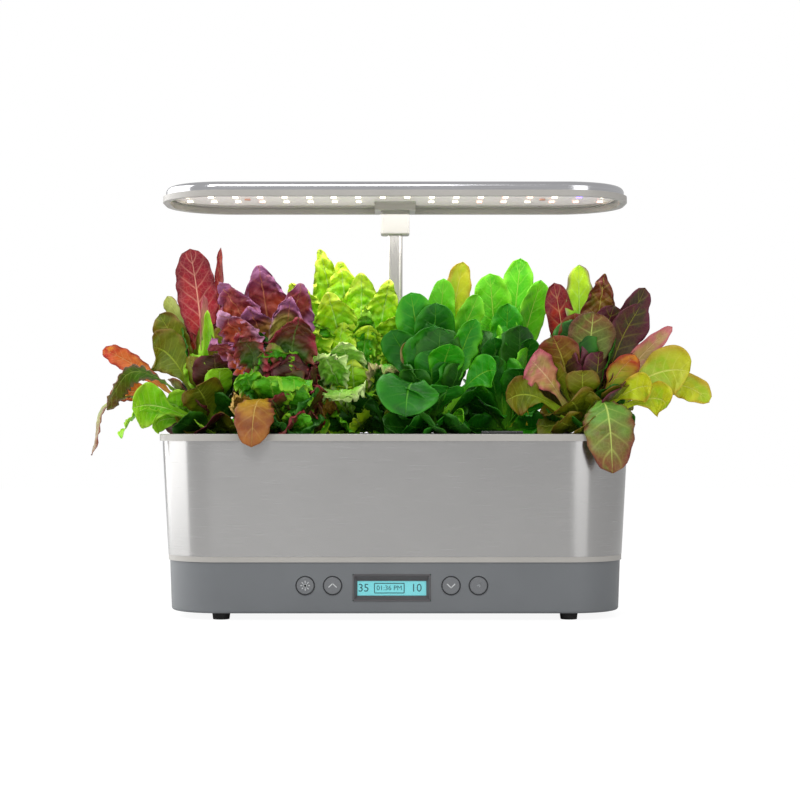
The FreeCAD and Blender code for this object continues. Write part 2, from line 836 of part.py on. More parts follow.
def make_basket(x, y):
    """A slotted cup that hangs in the deck by its flange."""
    cup = Part.makeCone(basket_low_radius, basket_top_radius, basket_depth, Vec(x, y, basket_low_z))
    flange = post(x, y, deck_top_z, deck_top_z + basket_flange_height, pod_hole + basket_flange)
    hollow = Part.makeCone(basket_low_radius - basket_wall, basket_top_radius - basket_wall,
                           basket_depth - basket_wall, Vec(x, y, basket_low_z + basket_wall))
    mouth = post(x, y, deck_top_z - 0.01, deck_top_z + basket_flange_height + 1, basket_top_radius - basket_wall)
    basket = cup.fuse(flange).cut(hollow).cut(mouth)
    reach = pod_hole
    slot_low = basket_low_z + basket_slot_foot
    slot_high = basket_low_z + basket_depth - basket_slot_head
    for k in range(basket_slots // 2):
        slot = box(-reach, reach, -basket_slot_width / 2, basket_slot_width / 2, slot_low, slot_high)
        slot.rotate(Vec(0, 0, 0), Vec(0, 0, 1), 180.0 * k / (basket_slots // 2))
        slot.translate(Vec(x, y, 0))
        basket = basket.cut(slot)
    return basket


def make_sponge(x, y):
    """A tapered plug of growth sponge that fills the upper part of a basket."""
    top_radius = basket_top_radius - basket_wall - loose_fit
    low_radius = top_radius - basket_taper * sponge_height / basket_depth
    return Part.makeCone(low_radius, top_radius, sponge_height, Vec(x, y, deck_top_z - sponge_height))


def make_pod_collar(x, y):
    low = deck_top_z + basket_flange_height
    disc = post(x, y, low, low + collar_disc_thickness, basket_top_radius)
    return disc.cut(post(x, y, low - 1, low + collar_disc_thickness + 1, collar_hole))


# Float, pump and channel
float_low_z = deck_z - stem_flange_height - loose_fit - float_travel - float_height
clip_top_z = float_low_z - loose_fit


def make_float_stem():
    stem = post(float_x, float_y, clip_top_z - stem_clip_height, deck_z, stem_radius)
    flange = post(float_x, float_y, deck_z - stem_flange_height, deck_z, stem_flange_radius)
    clip = post(float_x, float_y, clip_top_z - stem_clip_height, clip_top_z, stem_clip_radius)
    return stem.fuse(flange).fuse(clip)


def make_float():
    ring = post(float_x, float_y, float_low_z, float_low_z + float_height, float_radius)
    bore = post(float_x, float_y, float_low_z - 1, float_low_z + float_height + 1, stem_radius + float_fit)
    return ring.cut(bore)


pump_z = trim_top_z + bowl_wall
pump_front_y = pump_y - pump_depth / 2
axle_z = pump_z + pump_height / 2
chamber_back_y = pump_front_y + chamber_depth
impeller_back_y = chamber_back_y - impeller_end_gap
impeller_front_y = pump_front_y + impeller_end_gap
channel_z = deck_z - channel_height


def make_pump_housing():
    case = box(pump_x - pump_width / 2, pump_x + pump_width / 2, pump_front_y, pump_y + pump_depth / 2,
               pump_z, pump_z + pump_height)
    case = rounded(case, pump_corner, lambda edge: edge.BoundBox.ZLength > pump_height - 0.1)
    case = case.cut(rod_y(pump_x, axle_z, pump_front_y - 1, chamber_back_y, chamber_radius))
    case = case.cut(rod_y(pump_x, axle_z, chamber_back_y - 1, chamber_back_y + axle_seat, axle_radius))
    riser_y = pump_front_y + chamber_depth / 2
    top_z = pump_z + pump_height
    case = case.cut(post(pump_x, riser_y, axle_z, top_z + 1, riser_radius - riser_wall))
    return case.cut(post(pump_x, riser_y, top_z - riser_seat, top_z + 1, riser_radius + snug_fit))


def make_impeller():
    length = impeller_back_y - impeller_front_y
    wheel = rod_y(pump_x, axle_z, impeller_front_y, impeller_back_y, impeller_hub)
    disc_front = impeller_back_y - impeller_disc
    wheel = wheel.fuse(rod_y(pump_x, axle_z, disc_front, impeller_back_y, chamber_radius - impeller_gap))
    for k in range(impeller_blades):
        blade = box(-impeller_blade / 2, impeller_blade / 2, impeller_front_y + length / 4, disc_front,
                    impeller_hub / 2, chamber_radius - impeller_gap - loose_fit)
        blade.rotate(Vec(0, 0, 0), Vec(0, 1, 0), 360.0 * k / impeller_blades)
        blade.translate(Vec(pump_x, 0, axle_z))
        wheel = wheel.fuse(blade)
    return wheel.cut(rod_y(pump_x, axle_z, impeller_front_y - 1, impeller_back_y + 1, axle_radius + running_fit))


def make_axle():
    return rod_y(pump_x, axle_z, pump_front_y - pump_cover_thickness / 2, chamber_back_y + axle_seat, axle_radius)


def make_pump_cover():
    """A slotted plate over the impeller, with a frame round the foam."""
    y0 = pump_front_y - pump_cover_thickness - foam_thickness
    half = pump_width / 2
    cover = box(pump_x - half, pump_x + half, y0, pump_front_y, pump_z, pump_z + pump_height)
    inside = half - pump_cover_frame
    cover = cover.cut(box(pump_x - inside, pump_x + inside, y0 - 1, y0 + foam_thickness,
                          pump_z + pump_cover_frame, pump_z + pump_height - pump_cover_frame))
    for k in (-3, -2, -1, 1, 2, 3):
        x = pump_x + k * pump_slot_pitch
        cover = cover.cut(box(x - pump_slot / 2, x + pump_slot / 2, y0, pump_front_y + 1,
                              axle_z - pump_slot_height / 2, axle_z + pump_slot_height / 2))
    return cover.cut(rod_y(pump_x, axle_z, pump_front_y - pump_cover_thickness / 2, pump_front_y + 1, axle_radius))


def make_filter_foam():
    y0 = pump_front_y - pump_cover_thickness - foam_thickness
    edge = pump_cover_frame + loose_fit
    half = pump_width / 2 - edge
    return box(pump_x - half, pump_x + half, y0, y0 + foam_thickness, pump_z + edge, pump_z + pump_height - edge)


def make_riser():
    y = pump_front_y + chamber_depth / 2
    low = pump_z + pump_height - riser_seat
    high = channel_z + channel_wall + riser_proud
    tube = post(pump_x, y, low, high, riser_radius)
    return tube.cut(post(pump_x, y, low - 1, high + 1, riser_radius - riser_wall))


def make_channel():
    """The trough under the deck, which carries water between the two rows of pods."""
    half = channel_width / 2
    long_half = channel_length / 2
    riser_y = pump_front_y + chamber_depth / 2
    arm_half = riser_radius + snug_fit + channel_wall
    trough = box(-long_half, long_half, -half, half, channel_z, deck_z)
    arm = box(pump_x - arm_half, pump_x + arm_half, 0, riser_y + arm_half, channel_z, deck_z)
    run = box(-long_half + channel_wall, long_half - channel_wall, -half + channel_wall, half - channel_wall,
              channel_z + channel_wall, deck_z + 1)
    arm_run = box(pump_x - arm_half + channel_wall, pump_x + arm_half - channel_wall, 0,
                  riser_y + arm_half - channel_wall, channel_z + channel_wall, deck_z + 1)
    trough = trough.fuse(arm).cut(run).cut(arm_run)
    return trough.cut(post(pump_x, riser_y, channel_z - 1, deck_z, riser_radius + snug_fit))


# Leaves. Each leaf is (tip, lift, reach, width, face): the tip is its end, measured from its crown;
# its stalk bends over a point at reach times the tip's way out, and lift above half the tip's height;
# face is the way that its broad side looks.
front = (0, -1, 0.25)
front_left = (-0.6, -1, 0.3)
front_right = (0.6, -1, 0.3)
above = (0, -0.35, 1)
left = (-1, -0.5, 0.3)
right = (1, -0.5, 0.3)
back = (0.2, 1, 0.3)

lettuces = {
    "red_romaine": [
        ((-20, 6, 179), 8, 0.3, 38, front),
        ((8, 12, 180), 4, 0.3, 14, front_left),
        ((-41, 12, 134), 6, 0.3, 24, front_left),
        ((-8, -18, 132), 4, 0.3, 15, front_right),
        ((-2, -26, 118), 2, 0.4, 13, front),
        ((-101, -34, 21), 92, 0.7, 34, (-0.3, -0.8, 1)),
        ((-107, 22, 80), 26, 0.6, 20, front),
        ((-56, -6, 80), 46, 0.6, 42, front),
        ((-74, -46, 22), 22, 0.6, 36, (0, -1, 0.5)),
        ((-113, -18, -25), 92, 0.95, 22, (-1, -0.6, 0.6)),
        ((-96, 2, 30), 40, 0.7, 18, (0, -1, 0.8)),
        ((14, 20, 110), 4, 0.3, 30, front),
        ((-14, 64, 62), 30, 0.6, 34, (0, 1, 0.8)),
    ],
    "red_leaf_lettuce": [
        ((-47, 8, 146), 6, 0.5, 44, front_left),
        ((-20, 4, 159), 4, 0.3, 46, front),
        ((9, -4, 142), 4, 0.3, 42, front_right),
        ((14, -36, 112), 10, 0.5, 42, (0.3, -1, 0.3)),
        ((-33, -40, 98), 10, 0.6, 26, front_left),
        ((14, -44, 46), 26, 0.6, 36, (0.3, -1, 0.5)),
        ((-23, -60, -15), 74, 0.95, 32, (0, -1, 0.5)),
        ((-60, -4, 94), 12, 0.5, 34, left),
        ((-50, -26, 24), 20, 0.6, 18, above),
    ],
    "green_leaf_lettuce": [
        ((-35, 6, 179), 2, 0.4, 30, front),
        ((-15, 4, 167), 2, 0.3, 34, front),
        ((2, -4, 152), 2, 0.3, 38, front),
        ((-58, 2, 148), 4, 0.5, 38, front_left),
        ((-27, -20, 138), 6, 0.4, 42, front),
        ((28, -14, 149), 6, 0.5, 34, front),
        ((8, -34, 122), 6, 0.5, 20, front),
        ((-34, -54, 82), 20, 0.6, 34, (-0.3, -1, 0.5)),
        ((-18, -68, 36), 42, 0.7, 40, (0, -1, 0.6)),
        ((34, -50, 64), 30, 0.6, 30, (0.3, -1, 0.5)),
        ((-46, -40, 20), 24, 0.7, 24, above),
        ((-34, 62, 54), 34, 0.6, 34, (0, 1, 0.8)),
    ],
    "butterhead_lettuce": [
        ((-24, -42, 12), 78, 0.9, 54, (-0.2, -1, 0.3)),
        ((-20, -12, 88), 6, 0.4, 20, front_left),
        ((-18, -4, 132), 6, 0.4, 34, front),
        ((2, -8, 122), 6, 0.4, 38, front),
        ((8, 4, 145), 4, 0.3, 26, front),
        ((26, 8, 160), 4, 0.4, 26, front),
        ((38, 2, 130), 4, 0.4, 24, front_right),
        ((36, -22, 106), 6, 0.5, 24, front_right),
        ((60, -20, 56), 36, 0.6, 28, (0.2, -1, 0.6)),
        ((32, -30, 8), 20, 0.7, 16, above),
    ],
    "green_romaine": [
        ((14, 6, 170), 4, 0.3, 30, front),
        ((-12, -6, 154), 4, 0.4, 34, front),
        ((30, -8, 148), 4, 0.4, 24, front_right),
        ((-30, -2, 104), 6, 0.5, 26, front_left),
        ((22, -14, 92), 6, 0.5, 26, front_right),
        ((26, -22, 14), 16, 0.7, 14, above),
        ((4, 26, 118), 6, 0.4, 30, back),
        ((14, 66, 46), 44, 0.6, 34, (0, 1, 0.8)),
    ],
    "bronze_lettuce": [
        ((-2, 8, 159), 2, 0.3, 20, front),
        ((-24, 12, 141), 4, 0.4, 24, front),
        ((18, 4, 151), 4, 0.4, 32, front),
        ((54, 10, 138), 6, 0.5, 26, front_right),
        ((48, -12, 122), 8, 0.5, 38, front_right),
        ((6, -28, 113), 6, 0.5, 40, front),
        ((-26, -22, 92), 10, 0.5, 36, front_left),
        ((-52, -38, 66), 22, 0.6, 30, (-0.3, -1, 0.6)),
        ((43, -24, 74), 10, 0.5, 26, front_right),
        ((82, 2, 98), 16, 0.5, 18, right),
        ((98, -6, 54), 42, 0.6, 42, (0.2, -1, 0.6)),
        ((78, -26, 22), 34, 0.8, 30, (0.4, -1, 0.7)),
        ((117, 12, 24), 60, 0.7, 22, (0.3, -1, 0.7)),
        ((20, -56, -40), 90, 0.95, 42, (0, -1, 0.4)),
        ((-74, -34, 26), 34, 0.6, 34, (-0.2, -1, 0.6)),
    ],
}


def leaf(base, tip, lift, reach, width, face, extra=0.0):
    """A folded blade of flat facets along a bent spine, which carries its width along without twist."""
    end = base + Vec(*tip)
    knee = base + Vec(tip[0] * reach, tip[1] * reach, tip[2] / 2 + lift)
    look = Vec(*face)
    look.normalize()
    thick = leaf_thickness / 2 + extra
    rings = []
    before = knee - base
    side = before.cross(look)
    for u, share in leaf_stations:
        place = base * (1 - u) ** 2 + knee * (2 * u * (1 - u)) + end * u ** 2
        along = (knee - base) * (1 - u) + (end - knee) * u
        along.normalize()
        side = FreeCAD.Rotation(before, along).multVec(side)
        side.normalize()
        before = along
        normal = side.cross(along)
        half = width / 2 * share + extra
        edge_up = normal * (half * leaf_fold)
        rings.append([place - side * half + edge_up, place + normal * thick,
                      place + side * half + edge_up, place - normal * thick])
    end = end + along * extra
    facets = [(rings[0][2], rings[0][1], rings[0][0]), (rings[0][3], rings[0][2], rings[0][0])]
    for low, high in zip(rings, rings[1:]):
        for i in range(4):
            j = (i + 1) % 4
            facets.append((low[i], low[j], high[j]))
            facets.append((low[i], high[j], high[i]))
    for i in range(4):
        facets.append((rings[-1][i], rings[-1][(i + 1) % 4], end))
    faces = [Part.Face(Part.makePolygon([a, b, c, a])) for a, b, c in facets]
    solid = Part.makeSolid(Part.makeShell(faces))
    if solid.Volume < 0:
        solid.reverse()
    return solid


def stalk_foot(x, y, k, tip):
    """Where the stalk of a plant's k-th leaf leaves the crown, on the side that it leans to."""
    out = max(math.hypot(tip[0], tip[1]), 1.0)
    share = stalk_spread / out
    return Vec(x + tip[0] * share, y + tip[1] * share, crown_z + stalk_low + stalk_step * k)


def make_lettuce(name, x, y, cut_away):
    """A crown with its leaves, kept off the deck, the rim and the plants that are made already."""
    crown = Part.makeCone(crown_radius, crown_radius + crown_flare, crown_height, Vec(x, y, deck_top_z))
    blades = [leaf(stalk_foot(x, y, k, spec[0]), *spec) for k, spec in enumerate(lettuces[name])]
    plant = blades[0]
    for blade in blades[1:]:
        plant = plant.fuse(blade)
    for keep_out in cut_away:
        plant = plant.cut(keep_out)
    plant = plant.fuse(crown)
    return max(plant.Solids, key=lambda solid: solid.Volume)


def leaf_room(name, x, y):
    """The plant's leaves, a little fatter, which its neighbours are cut back from."""
    blades = [leaf(stalk_foot(x, y, k, spec[0]), *spec, extra=leaf_gap) for k, spec in enumerate(lettuces[name])]
    room = Part.makeCone(crown_radius + leaf_gap, crown_radius + crown_flare + leaf_gap, crown_height, Vec(x, y, deck_top_z))
    for blade in blades:
        room = room.fuse(blade)
    return room


def main():
    save("base_shell", make_base_shell())
    save("bottom_cover", make_bottom_cover())
    feet = [Part.makeCone(foot_radius - foot_draw, foot_radius, foot_height, Vec(x, y, 0))
            for x, y in foot_places]
    save("rubber_feet", *feet)
    shank = boss_pilot - thread_ease
    save("case_screws", *[screw(x, y, base_z, case_screw_length, shank) for x, y in boss_places])
    save("trim_ring", make_trim_ring())
    save("display_bezel", make_display_bezel())
    save("display_window", display_plate(window_y, window_y + window_thickness, window_lap))
    save("display_module", display_plate(window_y + window_thickness, board_front_y, window_lap))
    save("control_board", make_control_board())
    save("board_screws", *[make_board_screw(side, level) for side in (-1, 1) for level in (-1, 1)])
    names = ["light_button", "up_button", "down_button", "outlet_button"]
    for name, x in zip(names, button_places()):
        save(name, make_button(x))
    save("button_rings", *[make_button_ring(x) for x in button_places()])
    save("tact_switches", *[make_switch(x) for x in button_places()])
    save("power_inlet", make_power_inlet())
    save("inlet_bracket", make_inlet_foot())
    save("pump_dock", make_pump_dock())

    save("mast_socket", make_mast_socket())
    save("outer_mast", make_outer_mast())
    save("mast_collar", make_mast_collar())
    save("inner_mast", make_inner_mast())
    save("mast_glide", make_mast_glide())
    save("mast_head", make_mast_head())
    save("lamp_lead", make_lamp_lead())

    save("hood_bezel", make_hood_bezel())
    save("hood_shell", make_hood_shell())
    save("lamp_lens", make_lens())
    save("led_board", make_led_board())
    save("leds", *[make_led(x, y) for x, y in led_places()])
    save("heat_spreader", make_heat_spreader())
    head_low_z = board_z - screw_head_height
    reach = hood_top_z - shell_sheet - loose_fit - head_low_z
    save("hood_screws", *[screw(x, y, head_low_z, reach, boss_pilot) for x, y in hood_screw_places])
    save("head_screws", *[screw(side * head_screw_x, mast_y, board_z + screw_head_height, screw_length, shank, -1.0)
                          for side in (-1, 1)])

    save("water_bowl", make_water_bowl())
    save("steel_wrap", make_steel_wrap())
    save("bowl_rim", make_rim())
    save("grow_deck", make_deck())
    save("fill_door", make_fill_door())
    save("door_pin", make_hinge_pin())
    save("float_stem", make_float_stem())
    save("level_float", make_float())
    save("pump_housing", make_pump_housing())
    save("pump_impeller", make_impeller())
    save("impeller_axle", make_axle())
    save("pump_cover", make_pump_cover())
    save("filter_foam", make_filter_foam())
    save("riser_tube", make_riser())
    save("water_channel", make_channel())
    save("grow_baskets", *[make_basket(x, y) for x, y in pod_places()])
    save("growth_sponges", *[make_sponge(x, y) for x, y in pod_places()])
    save("pod_collars", *[make_pod_collar(x, y) for x, y in pod_places()])

    floor = body_block(-leaf_gap, 0, crown_z + leaf_floor_gap)
    room_half = head_width / 2 + mast_room_gap
    mast_room = box(-room_half, room_half, mast_y - head_depth / 2 - mast_room_gap, rim_depth, 0, hood_top_z)
    door_swing = box(door_x - door_width / 2 - 1, door_x + door_width / 2 + 1, door_y - door_length / 2 - 1,
                     door_y + door_length / 2 + hinge_post, 0, hinge_z + door_length + 1)
    done = []
    for (name, _), (x, y) in zip(lettuces.items(), pod_places()):
        save(name, make_lettuce(name, x, y, [floor, mast_room, door_swing] + done))
        done.append(leaf_room(name, x, y))


main()
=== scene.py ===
# %% [markdown]
# A countertop hydroponic garden: a steel-wrapped bowl of water under a deck with six lettuces, a base
# with a small display and four buttons, and a lamp hood that slides up and down on a mast at the back.
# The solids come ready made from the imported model. This script dresses them with finishes and grows
# the six lettuces leaf by leaf, because leaves are what such a solid shows worst.

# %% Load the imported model
import json
import math
from functools import partial

import bmesh
import bpy
from mathutils import Matrix, Vector, noise


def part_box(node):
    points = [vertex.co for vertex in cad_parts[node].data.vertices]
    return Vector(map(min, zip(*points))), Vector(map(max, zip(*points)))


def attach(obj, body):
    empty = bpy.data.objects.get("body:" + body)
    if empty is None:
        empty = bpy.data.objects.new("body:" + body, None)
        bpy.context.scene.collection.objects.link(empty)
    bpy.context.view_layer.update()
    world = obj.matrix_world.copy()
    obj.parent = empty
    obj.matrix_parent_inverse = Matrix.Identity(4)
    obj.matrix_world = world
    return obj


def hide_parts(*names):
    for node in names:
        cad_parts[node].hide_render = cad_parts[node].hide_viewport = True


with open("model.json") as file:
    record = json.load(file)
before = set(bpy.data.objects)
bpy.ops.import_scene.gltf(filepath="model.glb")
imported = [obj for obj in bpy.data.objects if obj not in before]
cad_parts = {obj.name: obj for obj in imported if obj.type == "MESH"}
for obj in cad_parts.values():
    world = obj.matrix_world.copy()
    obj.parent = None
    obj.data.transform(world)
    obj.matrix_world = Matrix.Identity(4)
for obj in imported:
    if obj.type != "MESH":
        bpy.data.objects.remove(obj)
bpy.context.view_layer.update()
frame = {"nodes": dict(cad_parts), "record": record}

MM = 0.001
nodes = frame["nodes"]


def placed(name, data):
    """An object with this data, in the scene."""
    thing = bpy.data.objects.new(name, data)
    bpy.context.scene.collection.objects.link(thing)
    return thing


# %% [markdown]
# The picture was taken level, from straight in front and far away, so the camera looks along +Y with
# a long lens. A small shift of the frame does what tilting would spoil: upright edges stay upright.

# %% Camera
picture_side = 800
horizon_row = 434.5
middle_column = 395.0
lens_in_pixels = 1818.0
sensor_width = 36.0
camera_place = (0, -1.725, 0.1703)

camera_data = bpy.data.cameras.new("front_camera")
camera_data.sensor_width = sensor_width
camera_data.lens = lens_in_pixels / picture_side * sensor_width
camera_data.shift_x = (picture_side / 2 - middle_column) / picture_side
camera_data.shift_y = (horizon_row - picture_side / 2) / picture_side
camera_data.clip_end = 20.0
camera = placed("front_camera", camera_data)
upright = Matrix.Rotation(math.radians(90), 4, "X")
camera.matrix_world = Matrix.Translation(camera_place) @ upright
bpy.context.scene.camera = camera
bpy.context.scene.view_settings.view_transform = "Standard"
print("lens", round(camera_data.lens, 1), "mm")

# %% [markdown]
# Shader maths reads best as plain expressions. A Wire is one socket of a node tree: adding two wires
# adds a Math node and gives the wire that leaves it. Every other node comes from the one method `node`
# of a Finish, which is a material with its Principled shader.

# %% Wires and finishes
class Wire:
    """A socket that can be used in arithmetic."""

    def __init__(self, finish, socket):
        self.finish = finish
        self.socket = socket

    def __add__(self, other):
        return self.finish.maths("ADD", self, other)

    def __sub__(self, other):
        return self.finish.maths("SUBTRACT", self, other)

    def __rsub__(self, other):
        return self.finish.maths("SUBTRACT", other, self)

    def __mul__(self, other):
        return self.finish.maths("MULTIPLY", self, other)

    def __truediv__(self, other):
        return self.finish.maths("DIVIDE", self, other)


def linear(red, green, blue):
    """A colour as the screen shows it, 0 to 255, in the renderer's linear values."""
    shown = (red, green, blue)
    return [((c / 255 + 0.055) / 1.055) ** 2.4 if c > 10 else c / 3294.6 for c in shown] + [1.0]


def varied(colour, share):
    """A darker and a lighter shade of a colour."""
    return [c * (1 - share) for c in colour], [min(c * (1 + share), 255) for c in colour]


class Finish:
    """A material with one Principled shader and a method that adds any node."""

    def __init__(self, name, colour, **sockets):
        self.material = bpy.data.materials.new(name)
        self.material.use_nodes = True
        self.tree = self.material.node_tree
        self.shader = self.tree.nodes["Principled BSDF"]
        self.output = self.tree.nodes["Material Output"]
        self.shader.inputs["Base Color"].default_value = linear(*colour)
        for socket, value in sockets.items():
            self.shader.inputs[socket.replace("_", " ")].default_value = value

    def node(self, kind, settings=None, values=(), output=0):
        """Adds a node, its settings first, and gives one of its outputs as a wire."""
        made = self.tree.nodes.new(kind)
        for name, value in (settings or {}).items():
            if name == "stops":
                ramp = made.color_ramp
                while len(ramp.elements) < len(value):
                    ramp.elements.new(0.5)
                for element, (position, shade) in zip(ramp.elements, value):
                    element.position = position
                    element.color = shade
            else:
                setattr(made, name, value)
        pairs = values.items() if isinstance(values, dict) else enumerate(values)
        for key, value in pairs:
            if isinstance(value, Wire):
                self.tree.links.new(value.socket, made.inputs[key])
            else:
                made.inputs[key].default_value = value
        return Wire(self, made.outputs[output])

    def maths(self, operation, *values, clamp=False):
        """A Math node of any operation."""
        return self.node("ShaderNodeMath", {"operation": operation, "use_clamp": clamp}, values)

    def feed(self, socket, wire):
        self.tree.links.new(wire.socket, self.shader.inputs[socket])

    def place(self, scale=(1.0, 1.0, 1.0)):
        """Object coordinates, stretched by a scale on each axis."""
        spot = self.node("ShaderNodeTexCoord", output="Object")
        return self.node("ShaderNodeMapping", values={"Vector": spot, "Scale": scale})

    def grain(self, scale, detail=3.0, stretch=(1.0, 1.0, 1.0)):
        """Noise between 0 and 1 with features of about 1/scale metres."""
        return self.node("ShaderNodeTexNoise",
                         values={"Vector": self.place(stretch), "Scale": scale, "Detail": detail})

    def shades(self, mask, dark, light):
        """A colour between two shades, chosen by a mask."""
        return self.node("ShaderNodeMix", {"data_type": "RGBA"},
                         {0: mask, 6: linear(*dark), 7: linear(*light)}, output=2)

    def bump(self, height, depth, strength):
        """Relief for the normal, its depth in metres."""
        return self.node("ShaderNodeBump",
                         values={"Height": height, "Distance": depth, "Strength": strength})

    def span(self, mask, low, high):
        """A mask stretched to run from low to high."""
        return mask * (high - low) + low

    def rest(self, amount):
        """What an amount leaves of one, and never less than nothing."""
        return self.maths("SUBTRACT", 1.0, amount, clamp=True)

    def mix_shaders(self, share, first, second):
        """Ends the material in a mix of two shaders instead of the Principled one alone."""
        mixer = self.tree.nodes.new("ShaderNodeMixShader")
        for source, target in zip((share.socket, first.outputs[0], second.outputs[0]), mixer.inputs):
            self.tree.links.new(source, target)
        self.tree.links.new(mixer.outputs[0], self.output.inputs[0])


finishes = {}


def make_all(maker, table):
    """Makes a finish of each row of a table and keeps it under its name."""
    finishes.update({name: maker(name, *numbers) for name, numbers in table.items()})
    print(maker.__name__, len(table))


# %% [markdown]
# Most of the garden is moulded plastic. Close up such plastic has a fine texture from the tool and a
# slightly uneven tone, which a flat colour lacks, so one function makes them all: a fine grain for the
# bump and the gloss, and slow clouds for the tone.

# %% Moulded plastics
plastic_clouds = 18.0
plastic_tone = 0.05


def moulded(name, colour, roughness, grain_size=0.0004, grain_depth=0.00002, **sockets):
    """A moulded plastic; the size and the depth of its grain are in metres."""
    finish = Finish(name, colour, **sockets)
    clouds = finish.grain(plastic_clouds, 2.0)
    finish.feed("Base Color", finish.shades(clouds, *varied(colour, plastic_tone)))
    texture = finish.grain(1 / grain_size, 2.0)
    finish.feed("Roughness", finish.span(texture, roughness - 0.06, roughness + 0.06))
    finish.feed("Normal", finish.bump(texture, grain_depth, 0.5))
    return finish.material


make_all(moulded, {
    "slate_plastic": ((106, 109, 112), 0.42),
    "slate_bezel": ((84, 82, 84), 0.4),
    "dark_plastic": ((48, 49, 50), 0.5),
    "foot_rubber": ((34, 33, 33), 0.75, 0.0008, 0.00005),
    "pale_plastic": ((168, 165, 160), 0.38),
    "switch_plastic": ((30, 30, 30), 0.45),
    "black_plastic": ((24, 24, 25), 0.32),
    "glide_nylon": ((214, 213, 205), 0.4),
    "lead_rubber": ((36, 36, 36), 0.6, 0.0008),
    "bowl_plastic": ((56, 57, 58), 0.35),
    "deck_plastic": ((44, 45, 46), 0.45),
    "basket_plastic": ((58, 58, 57), 0.5),
    "collar_plastic": ((120, 120, 116), 0.5),
})
finishes["button_plastic"] = moulded("button_plastic", (104, 106, 109), 0.28, Coat_Weight=0.3)

# %% [markdown]
# The bowl's wrap is stainless sheet, brushed round the bowl. Brushing leaves fine scratches that run
# sideways, so the noise is stretched along X and Y and squeezed along Z. The same function gives the
# polished sheet of the hood, the satin mast and the plated screws, with other stretches.

# %% Metals
metal_clouds = 9.0
metal_tone = 0.08


def metal(name, colour, roughness, stretch, scratch_scale, depth, **sockets):
    """A metal with scratches stretched along its axes; their depth is in metres."""
    finish = Finish(name, colour, Metallic=1.0, **sockets)
    fine = finish.grain(scratch_scale, 4.0, stretch)
    clouds = finish.grain(metal_clouds, 2.0)
    tint = fine * 0.6 + clouds * 0.4
    finish.feed("Base Color", finish.shades(tint, *varied(colour, metal_tone)))
    finish.feed("Roughness", finish.span(fine, roughness - 0.07, roughness + 0.07))
    finish.feed("Normal", finish.bump(fine, depth, 0.4))
    return finish.material


make_all(metal, {
    "polished_steel": ((205, 205, 208), 0.14, (1.0, 1.0, 20.0), 30.0, 0.000005),
    "mast_metal": ((205, 202, 196), 0.3, (30.0, 30.0, 1.0), 30.0, 0.00001),
    "spreader_aluminium": ((200, 200, 202), 0.35, (1.0, 30.0, 1.0), 30.0, 0.00001),
    "screw_steel": ((190, 190, 192), 0.3, (1.0, 1.0, 1.0), 900.0, 0.00001),
    "screw_copper": ((208, 140, 104), 0.3, (1.0, 1.0, 1.0), 900.0, 0.00001),
    "ring_chrome": ((70, 71, 73), 0.2, (1.0, 1.0, 1.0), 600.0, 0.00001),
})
finishes["brushed_wrap"] = metal("brushed_wrap", (172, 171, 170), 0.25, (1.0, 1.0, 60.0), 30.0, 0.00001,
                                 Anisotropic=0.85, Anisotropic_Rotation=0.25)

# %% [markdown]
# The pieces left are an odd lot: the display behind its window, the lit lamp board under a clear cover,
# the green circuit board, foam and growth sponge. Clear covers are mixed from a see-through shader and
# a thin gloss, which stays clean in any light and costs little to render.

# %% Clear covers
haze_share = 0.02


def clear_cover(name, tint, gloss_share):
    finish = Finish(name, (255, 255, 255), Roughness=0.06)
    through = finish.tree.nodes.new("ShaderNodeBsdfTransparent")
    through.inputs["Color"].default_value = linear(*tint)
    haze = finish.grain(12.0, 2.0)
    share = finish.node("ShaderNodeFresnel", values={"IOR": 1.45}) * gloss_share + haze * haze_share
    finish.mix_shaders(share, through, finish.shader)
    return finish.material


make_all(clear_cover, {"display_glass": ((246, 252, 252), 0.15), "lens_clear": ((252, 252, 252), 0.2)})

# %% Lamp board, diodes and display
def glossy_board(name, colour, speckle, glow):
    """A smooth board of one speckled colour that also glows."""
    finish = Finish(name, colour, Roughness=0.25, Coat_Weight=0.4, Emission_Strength=glow)
    cells = finish.grain(260.0, 2.0)
    shade = finish.shades(cells, [c * (1 - speckle) for c in colour], colour)
    finish.feed("Base Color", shade)
    finish.feed("Emission Color", shade)
    finish.feed("Roughness", finish.span(cells, 0.2, 0.3))
    return finish.material


def lit_diodes(name, glow, spacing):
    """Warm white diodes, a few of them pink or violet, told apart by the cell they stand in."""
    finish = Finish(name, (255, 240, 205), Roughness=0.3, Emission_Strength=glow)
    cell = finish.node("ShaderNodeTexVoronoi", values={"Vector": finish.place(), "Scale": 1 / spacing},
                       output="Color")
    pick = finish.node("ShaderNodeSeparateColor", values=[cell])
    warm, pink, violet = linear(255, 244, 214), linear(255, 176, 156), linear(128, 104, 255)
    stops = ((0.0, warm), (0.7, warm), (0.74, pink), (0.9, pink), (0.94, violet))
    tint = finish.node("ShaderNodeValToRGB", {"stops": stops}, [pick])
    finish.feed("Emission Color", tint)
    finish.feed("Base Color", tint)
    return finish.material


make_all(glossy_board, {
    "white_board": ((232, 224, 222), 0.03, 0.42),
    "display_panel": ((118, 196, 202), 0.03, 0.5),
    "circuit_board": ((24, 104, 62), 0.15, 0.0),
})
make_all(lit_diodes, {"led_light": (5.0, 0.026)})

# %% Foam and growth sponge
def porous(name, dark, light, pore_size):
    finish = Finish(name, light, Roughness=0.95)
    pores = finish.node("ShaderNodeTexVoronoi", values={"Vector": finish.place(), "Scale": 1 / pore_size})
    finish.feed("Base Color", finish.shades(pores, dark, light))
    finish.feed("Normal", finish.bump(pores, pore_size / 2, 0.8))
    return finish.material


